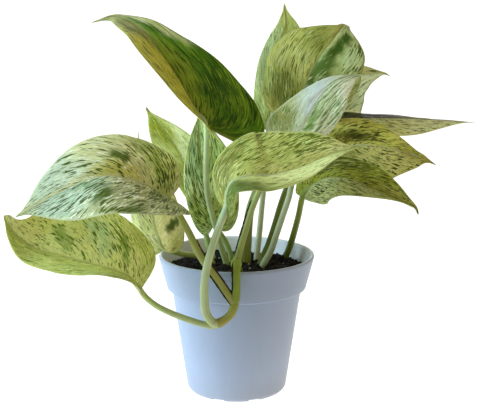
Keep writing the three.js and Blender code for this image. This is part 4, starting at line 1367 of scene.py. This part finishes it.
def turned(name, outline, segments):
    """A closed solid of revolution from an outline of radius and height in millimetres."""
    build = bmesh.new()
    rings = []
    for radius, height in outline:
        if radius < 1e-6:
            rings.append([build.verts.new((0, 0, height * MM))])
            continue
        turns = [2 * math.pi * k / segments for k in range(segments)]
        places = [(radius * math.cos(a) * MM, radius * math.sin(a) * MM, height * MM) for a in turns]
        rings.append([build.verts.new(place) for place in places])
    for low, high in zip(rings, rings[1:]):
        for k in range(segments):
            below, above = ([ring[(k + step) % len(ring)] for step in (0, 1)] for ring in (low, high))
            distinct = list(dict.fromkeys([*below, *reversed(above)]))
            if len(distinct) > 2:
                build.faces.new(distinct)
    bmesh.ops.recalc_face_normals(build, faces=build.faces)
    return finished(build, name)


def cut(mesh, cutters):
    """A mesh with other meshes cut out of it."""
    body, tool = linked("body", mesh), linked("tool", cutters)
    modifier = body.modifiers.new("cut", "BOOLEAN")
    modifier.operation = "DIFFERENCE"
    modifier.solver = "EXACT"
    modifier.object = tool
    scene_state = bpy.context.evaluated_depsgraph_get()
    made = bpy.data.meshes.new_from_object(body.evaluated_get(scene_state), depsgraph=scene_state)
    bpy.data.objects.remove(body)
    bpy.data.objects.remove(tool)
    return made


def arc(centre, radius, start, end, steps):
    """Points of an arc in an outline, with angles in degrees from the radius axis."""
    angles = np.radians(np.linspace(start, end, steps))
    return [(centre[0] + radius * math.cos(a), centre[1] + radius * math.sin(a)) for a in angles]


def pot_inside(gap=0.0):
    """The inside of the pot from the axis of its floor to its lip, drawn in by a gap."""
    floor = FOOT_RING_HEIGHT + WALL + gap
    heel = [(radius - gap, height + gap) for radius, height in INNER_HEEL]
    waist = (WAIST_RADIUS - WALL - gap, BAND_FOOT + gap)
    band = (BAND_FOOT_RADIUS - WALL - gap, BAND_FOOT + WALL + gap)
    lip = (RIM_RADIUS - LIP - gap, POT_HEIGHT - LIP)
    return [(0, floor), (FOOT_RING_RADIUS - WALL - gap, floor), *heel, waist, band, lip]


def pot_outside():
    """The outside of the pot from the middle of its foot to its lip."""
    ring = FOOT_RING_RADIUS - FOOT_RING_WIDTH
    outline = [(0, 0), (FOOT_BOSS_RADIUS, 0), (FOOT_BOSS_RADIUS + 1, FOOT_RING_HEIGHT)]
    outline += [(ring, FOOT_RING_HEIGHT), (ring, FOOT_ROUND), (ring + FOOT_ROUND, 0)]
    outline += [(FOOT_RING_RADIUS, 0)]
    outline += arc((FOOT_RING_RADIUS - 0.2, HEEL_ROUND), HEEL_ROUND, -78, -5, 7)
    outline += [(WAIST_RADIUS, BAND_FOOT - BAND_STEP)]
    outline += [(WAIST_RADIUS + 1.2, BAND_FOOT - 0.75), (BAND_FOOT_RADIUS - 0.5, BAND_FOOT - 0.3)]
    outline += arc((BAND_FOOT_RADIUS - BAND_ROUND, BAND_FOOT + 0.4), BAND_ROUND, -45, 10, 4)
    outline += arc((RIM_RADIUS - RIM_ROUND, POT_HEIGHT - 1.6), RIM_ROUND, -10, 40, 5)
    outline += arc((RIM_RADIUS - RIM_ROUND, POT_HEIGHT - RIM_ROUND), RIM_ROUND, 45, 150, 7)
    return outline


class POTHOS_OT_pot(bpy.types.Operator):
    """Makes the nursery pot with its rolled rim, band, foot ring, notches and drain holes"""

    bl_idname = "pothos.make_pot"
    bl_label = "Make pot"

    def execute(self, context):
        settings = context.scene.pothos.pot
        outline = [*pot_outside(), *reversed(pot_inside())]
        mesh = cut(turned("pot", outline, settings.segments), self.cutters())
        mesh.materials.clear()
        mesh.materials.append(pot_finish(settings))
        mesh.shade_smooth()
        places = np.array([vertex.co for vertex in mesh.vertices]) / MM
        middle = np.interp(places[:, 2], (0, BAND_FOOT, BAND_FOOT + 1, POT_HEIGHT),
                           (FOOT_RING_RADIUS, WAIST_RADIUS, BAND_FOOT_RADIUS, RIM_RADIUS)) - WALL / 2
        # Painted light: marks the inside near the lip, which is painted lighter than the outside
        lit_inside = (np.hypot(places[:, 0], places[:, 1]) < middle) & (places[:, 2] > LIT_INSIDE_FROM)
        carry(mesh, "inside", "FLOAT", "POINT", lit_inside.astype(float))
        mesh.set_sharp_from_angle(angle=math.radians(SHARP_ANGLE))
        piece("nursery_pot", mesh, "pot_plastic", "pot")
        return {"FINISHED"}

    @staticmethod
    def cutters():
        """The notches under the foot ring and the drain holes, as one mesh."""
        build = bmesh.new()
        for k in range(FOOT_NOTCHES):
            angle = 2 * math.pi * (k + 0.5) / FOOT_NOTCHES
            made = bmesh.ops.create_cube(build, size=1)["verts"]
            bmesh.ops.scale(build, vec=[s * MM for s in NOTCH_SIZE], verts=made)
            bmesh.ops.translate(build, vec=(FOOT_RING_RADIUS * MM, 0, 0), verts=made)
            for vertex in made:
                x, y, z = vertex.co
                vertex.co = Vector((x * math.cos(angle) - y * math.sin(angle),
                                    x * math.sin(angle) + y * math.cos(angle), z))
        for k in range(DRAIN_HOLES):
            angle = 2 * math.pi * k / DRAIN_HOLES
            x, y = DRAIN_CIRCLE * math.cos(angle) * MM, DRAIN_CIRCLE * math.sin(angle) * MM
            made = bmesh.ops.create_cone(build, cap_ends=True, segments=32, radius1=DRAIN_RADIUS * MM,
                                         radius2=DRAIN_RADIUS * MM, depth=DRAIN_DEPTH * MM)["verts"]
            bmesh.ops.translate(build, vec=(x, y, FOOT_RING_HEIGHT * MM), verts=made)
        return finished(build, "cutters")


class POTHOS_OT_soil(bpy.types.Operator):
    """Makes the potting soil: the filling of the pot, with crumbs, bark chips and grains on top"""

    bl_idname = "pothos.make_soil"
    bl_label = "Make soil"

    RINGS = 46
    SEGMENTS = 144

    def surface(self, x, y):
        """How high the soil lies over a point, in millimetres."""
        radius = math.hypot(x, y) / SOIL_EDGE_RADIUS
        height = SOIL_TOP - SOIL_DROP * radius**SOIL_DROP_POWER
        calm = min(1, max(0, (1 - radius) * SOIL_CALM_SLOPE))
        for length, heading in SOIL_WAVES:
            turn = math.radians(heading)
            phase = 2 * math.pi * (x * math.cos(turn) + y * math.sin(turn)) / length
            height += SOIL_WAVE_HEIGHT * calm * math.sin(phase)
        (heap_x, heap_y), (reach_x, reach_y) = SOIL_HEAP_MIDDLE, SOIL_HEAP_REACH
        heap = math.exp(-(((x - heap_x) / reach_x) ** 2) - (((y - heap_y) / reach_y) ** 2))
        ripple = SOIL_RIPPLE_HEIGHT * math.sin(0.9 * x + 0.7 * y) * math.sin(1.1 * y - 0.5 * x)
        return height + calm * (SOIL_HEAP_HEIGHT * heap + ripple)

    def execute(self, context):
        settings = context.scene.pothos.soil
        outline = pot_inside(SOIL_GAP)[:-1]
        outline += [(SOIL_EDGE_RADIUS * i / self.RINGS, SOIL_TOP) for i in range(self.RINGS, -1, -1)]
        bed = turned("soil_bed", outline, self.SEGMENTS)
        for vertex in bed.vertices:
            if vertex.co.z > (SOIL_TOP - 0.01) * MM:
                vertex.co.z = self.surface(vertex.co.x / MM, vertex.co.y / MM) * MM
        carry(bed, "tone", "FLOAT", "POINT", np.full(len(bed.vertices), SOIL_TONE))
        bed.materials.append(soil_finish())
        bed.shade_smooth()
        piece("soil_bed", bed, "soil", "soil")
        strewn = (
            ("soil_crumbs", settings.crumbs, (0.0009, 0.0028), (1, 1, 0.8), 3.1, bed.materials[0]),
            ("bark_chips", settings.chips, (0.0015, 0.0038), (1.4, 0.55, 0.3), 0.5, chip_finish()),
            ("perlite_grains", settings.grains, (0.0009, 0.0022), (1, 0.9, 0.8), 3.1, perlite_finish()),
        )
        for k, (name, count, sizes, stretch, tilt, material) in enumerate(strewn):
            base = self.top_face(bed)
            mesh = grown(base, tree_named("scatter", scatter_tree),
                         {"Count per square metre": count, "Least size": sizes[0],
                          "Greatest size": sizes[1], "Stretch": stretch, "Lift": 0.2, "Tilt": tilt,
                          "Seed": settings.seed + k, "Material": material})
            piece(name, mesh, "soil")
        return {"FINISHED"}

    @staticmethod
    def top_face(bed):
        """The upper faces of the soil, clear of the wall, to strew things on."""
        build = bmesh.new()
        build.from_mesh(bed)
        away = [f for f in build.faces
                if f.normal.z < 0.3 or f.calc_center_median().z < (SOIL_TOP - SOIL_DROP - 1) * MM
                or f.calc_center_median().xy.length > (SOIL_EDGE_RADIUS - CLEAR_OF_WALL) * MM]
        bmesh.ops.delete(build, geom=away, context="FACES")
        return finished(build, "soil_top")


class POTHOS_OT_stem(bpy.types.Operator):
    """Makes the trailing stem with its swollen nodes"""

    bl_idname = "pothos.make_stem"
    bl_label = "Make stem"

    def execute(self, context):
        path = Route(STEM_PATH)
        shares = np.linspace(0, 1, int(path.length / STEM_STEP))
        radius = np.full(len(shares), STEM_RADIUS)
        for at, swelling in STEM_NODES:
            radius += swelling * np.exp(-(((shares - at) / NODE_SPREAD) ** 2))
            radius -= SCAR_DEPTH * np.exp(-(((shares - at - SCAR_OFFSET) / SCAR_REACH) ** 2))
        along = path.along(shares)
        facing = square_to(along, np.broadcast_to(STEM_FACING, along.shape))
        material = bpy.data.materials.get("stalk_skin") or stalk_finish()
        mesh = swept("trailing_stem", path.at(shares), radius, facing, STEM_GROOVE, 20, material)
        stops, codes = zip(*STEM_TONES)
        tones = np.array([srgb(code) for code in codes])
        part = shares_along(mesh)
        wash_points(mesh, np.column_stack([np.interp(part, stops, tones[:, k]) for k in range(3)]))
        piece("trailing_stem", mesh, "stem", "stem_front")
        return {"FINISHED"}


class POTHOS_OT_leaves(bpy.types.Operator):
    """Makes the fourteen leaves, each with its blade, midrib and stalk"""

    bl_idname = "pothos.make_leaves"
    bl_label = "Make leaves"

    def execute(self, context):
        settings = context.scene.pothos.leaves
        skin = bpy.data.materials.get("stalk_skin") or stalk_finish()
        finishes = {slot: leaf_finish(slot, fineness, settings)
                    for slot, fineness in LEAF_FINENESS.items()}
        for leaf in LEAVES:
            blade = blade_mesh(leaf, settings, finishes[leaf["slot"]])
            mesh = joined(blade, stalk_mesh(leaf, skin))
            piece(leaf["node"].removeprefix("leaf_") + "_leaf", mesh, leaf["slot"], leaf["node"])
        return {"FINISHED"}


class POTHOS_OT_sheaths(bpy.types.Operator):
    """Makes the dried edges of the sheaths along the stalks and the stem"""

    bl_idname = "pothos.make_sheaths"
    bl_label = "Make sheath edges"

    def execute(self, context):
        material = sheath_finish()
        meshes = []
        for where, start, end, sideways, outward in SHEATHS:
            leaf = next((item for item in LEAVES if item["node"] == where), None)
            path = Route(leaf["stalk"] if leaf else STEM_PATH)
            base = leaf["radius"][0] if leaf else STEM_RADIUS
            shares = np.linspace(start, end, SHEATH_POINTS)
            along = path.along(shares)
            facing = np.broadcast_to(leaf["face"] if leaf else (0.1, -1.0, 0.1), along.shape)
            facing = square_to(along, facing)
            right = np.cross(along, facing)
            near = path.at(shares) + right * sideways * base + facing * outward * base
            taper = np.sin(np.pi * np.linspace(0.04, 0.96, len(shares))) ** 0.4
            wobble = 1 + 0.25 * np.sin(shares * 90) * np.sin(shares * 37)
            radius = SHEATH_RADIUS * taper * wobble
            meshes.append(swept("sheath", near, radius, facing, 0.0, 8, material, SHEATH_FLATNESS))
        whole = meshes[0]
        for mesh in meshes[1:]:
            whole = joined(whole, mesh)
        piece("sheath_edges", whole, "stem")
        return {"FINISHED"}


class POTHOS_OT_stage(bpy.types.Operator):
    """Makes the paper sweep, the lights and the camera"""

    bl_idname = "pothos.make_stage"
    bl_label = "Make stage"

    def execute(self, context):
        settings = context.scene.pothos.stage
        self.paper(settings)
        self.light("key", settings.key, *KEY_LIGHT)
        self.light("fill", settings.fill, *FILL_LIGHT)
        world = bpy.data.worlds.new("studio")
        world.use_nodes = True
        sky = world.node_tree.nodes["Background"].inputs
        sky["Color"].default_value = (*SKY_COLOUR, 1)
        sky["Strength"].default_value = settings.sky
        context.scene.world = world
        context.scene.view_settings.view_transform = "Standard"
        camera = linked("camera", bpy.data.cameras.new("camera"))
        camera.data.lens = settings.lens
        camera.data.sensor_width = SENSOR_WIDTH
        camera.location = CAMERA_PLACE
        camera.rotation_euler = (math.radians(90 - CAMERA_DOWN), 0, 0)
        context.scene.camera = camera
        return {"FINISHED"}

    @staticmethod
    def paper(settings):
        """A floor that sweeps up behind into a wall."""
        turns = np.radians(np.linspace(6, 84, 14))
        section = [(PAPER_FRONT, 0.0), (PAPER_BACK, 0.0)]
        section += [(PAPER_BACK + PAPER_BEND * math.sin(turn), PAPER_BEND - PAPER_BEND * math.cos(turn))
                    for turn in turns]
        section += [(PAPER_BACK + PAPER_BEND, PAPER_BEND), (PAPER_BACK + PAPER_BEND, PAPER_TOP)]
        build = bmesh.new()
        sides = (-PAPER_HALF_WIDTH, PAPER_HALF_WIDTH)
        rows = [[build.verts.new((x, y, z)) for x in sides] for y, z in section]
        for low, high in zip(rows, rows[1:]):
            build.faces.new((low[0], low[1], high[1], high[0]))
        mesh = finished(build, "paper")
        mesh.materials.append(backdrop_finish(settings))
        mesh.shade_smooth()
        linked("paper_sweep", mesh)

    @staticmethod
    def light(name, power, place, size, colour):
        """A soft rectangular light that looks at the middle of the plant."""
        lamp = bpy.data.lights.new(name, "AREA")
        lamp.shape = "RECTANGLE"
        lamp.size, lamp.size_y = size
        lamp.energy = power
        lamp.color = colour
        shown = linked(name, lamp)
        shown.location = place
        middle = (CAD_BOX[0] + CAD_BOX[1]) / 2
        shown.rotation_euler = (middle - Vector(place)).to_track_quat("-Z", "Y").to_euler()


class POTHOS_PT_panel(bpy.types.Panel):
    """Lists the pieces of the plant and the sizes that can be changed"""

    bl_idname = "POTHOS_PT_panel"
    bl_label = "Pothos"
    bl_space_type = "VIEW_3D"
    bl_region_type = "UI"
    bl_category = "Pothos"

    def draw(self, context):
        settings = context.scene.pothos
        groups = (
            (POTHOS_OT_pot, settings.pot),
            (POTHOS_OT_soil, settings.soil),
            (POTHOS_OT_stem, None),
            (POTHOS_OT_leaves, settings.leaves),
            (POTHOS_OT_sheaths, None),
            (POTHOS_OT_stage, settings.stage),
        )
        for operator, group in groups:
            box = self.layout.box()
            box.operator(operator.bl_idname)
            for name in group.__annotations__ if group else ():
                box.prop(group, name)


CLASSES = (PotSettings, SoilSettings, LeafSettings, StageSettings, PothosSettings, POTHOS_OT_pot,
           POTHOS_OT_soil, POTHOS_OT_stem, POTHOS_OT_leaves, POTHOS_OT_sheaths, POTHOS_OT_stage,
           POTHOS_PT_panel)


def register():
    for item in CLASSES:
        bpy.utils.register_class(item)
    bpy.types.Scene.pothos = PointerProperty(type=PothosSettings)


def unregister():
    del bpy.types.Scene.pothos
    for item in reversed(CLASSES):
        bpy.utils.unregister_class(item)


def main():
    register()
    bpy.ops.pothos.make_stage()
    bpy.ops.pothos.make_pot()
    bpy.ops.pothos.make_soil()
    bpy.ops.pothos.make_stem()
    bpy.ops.pothos.make_leaves()
    bpy.ops.pothos.make_sheaths()


if __name__ == "__main__":
    main()
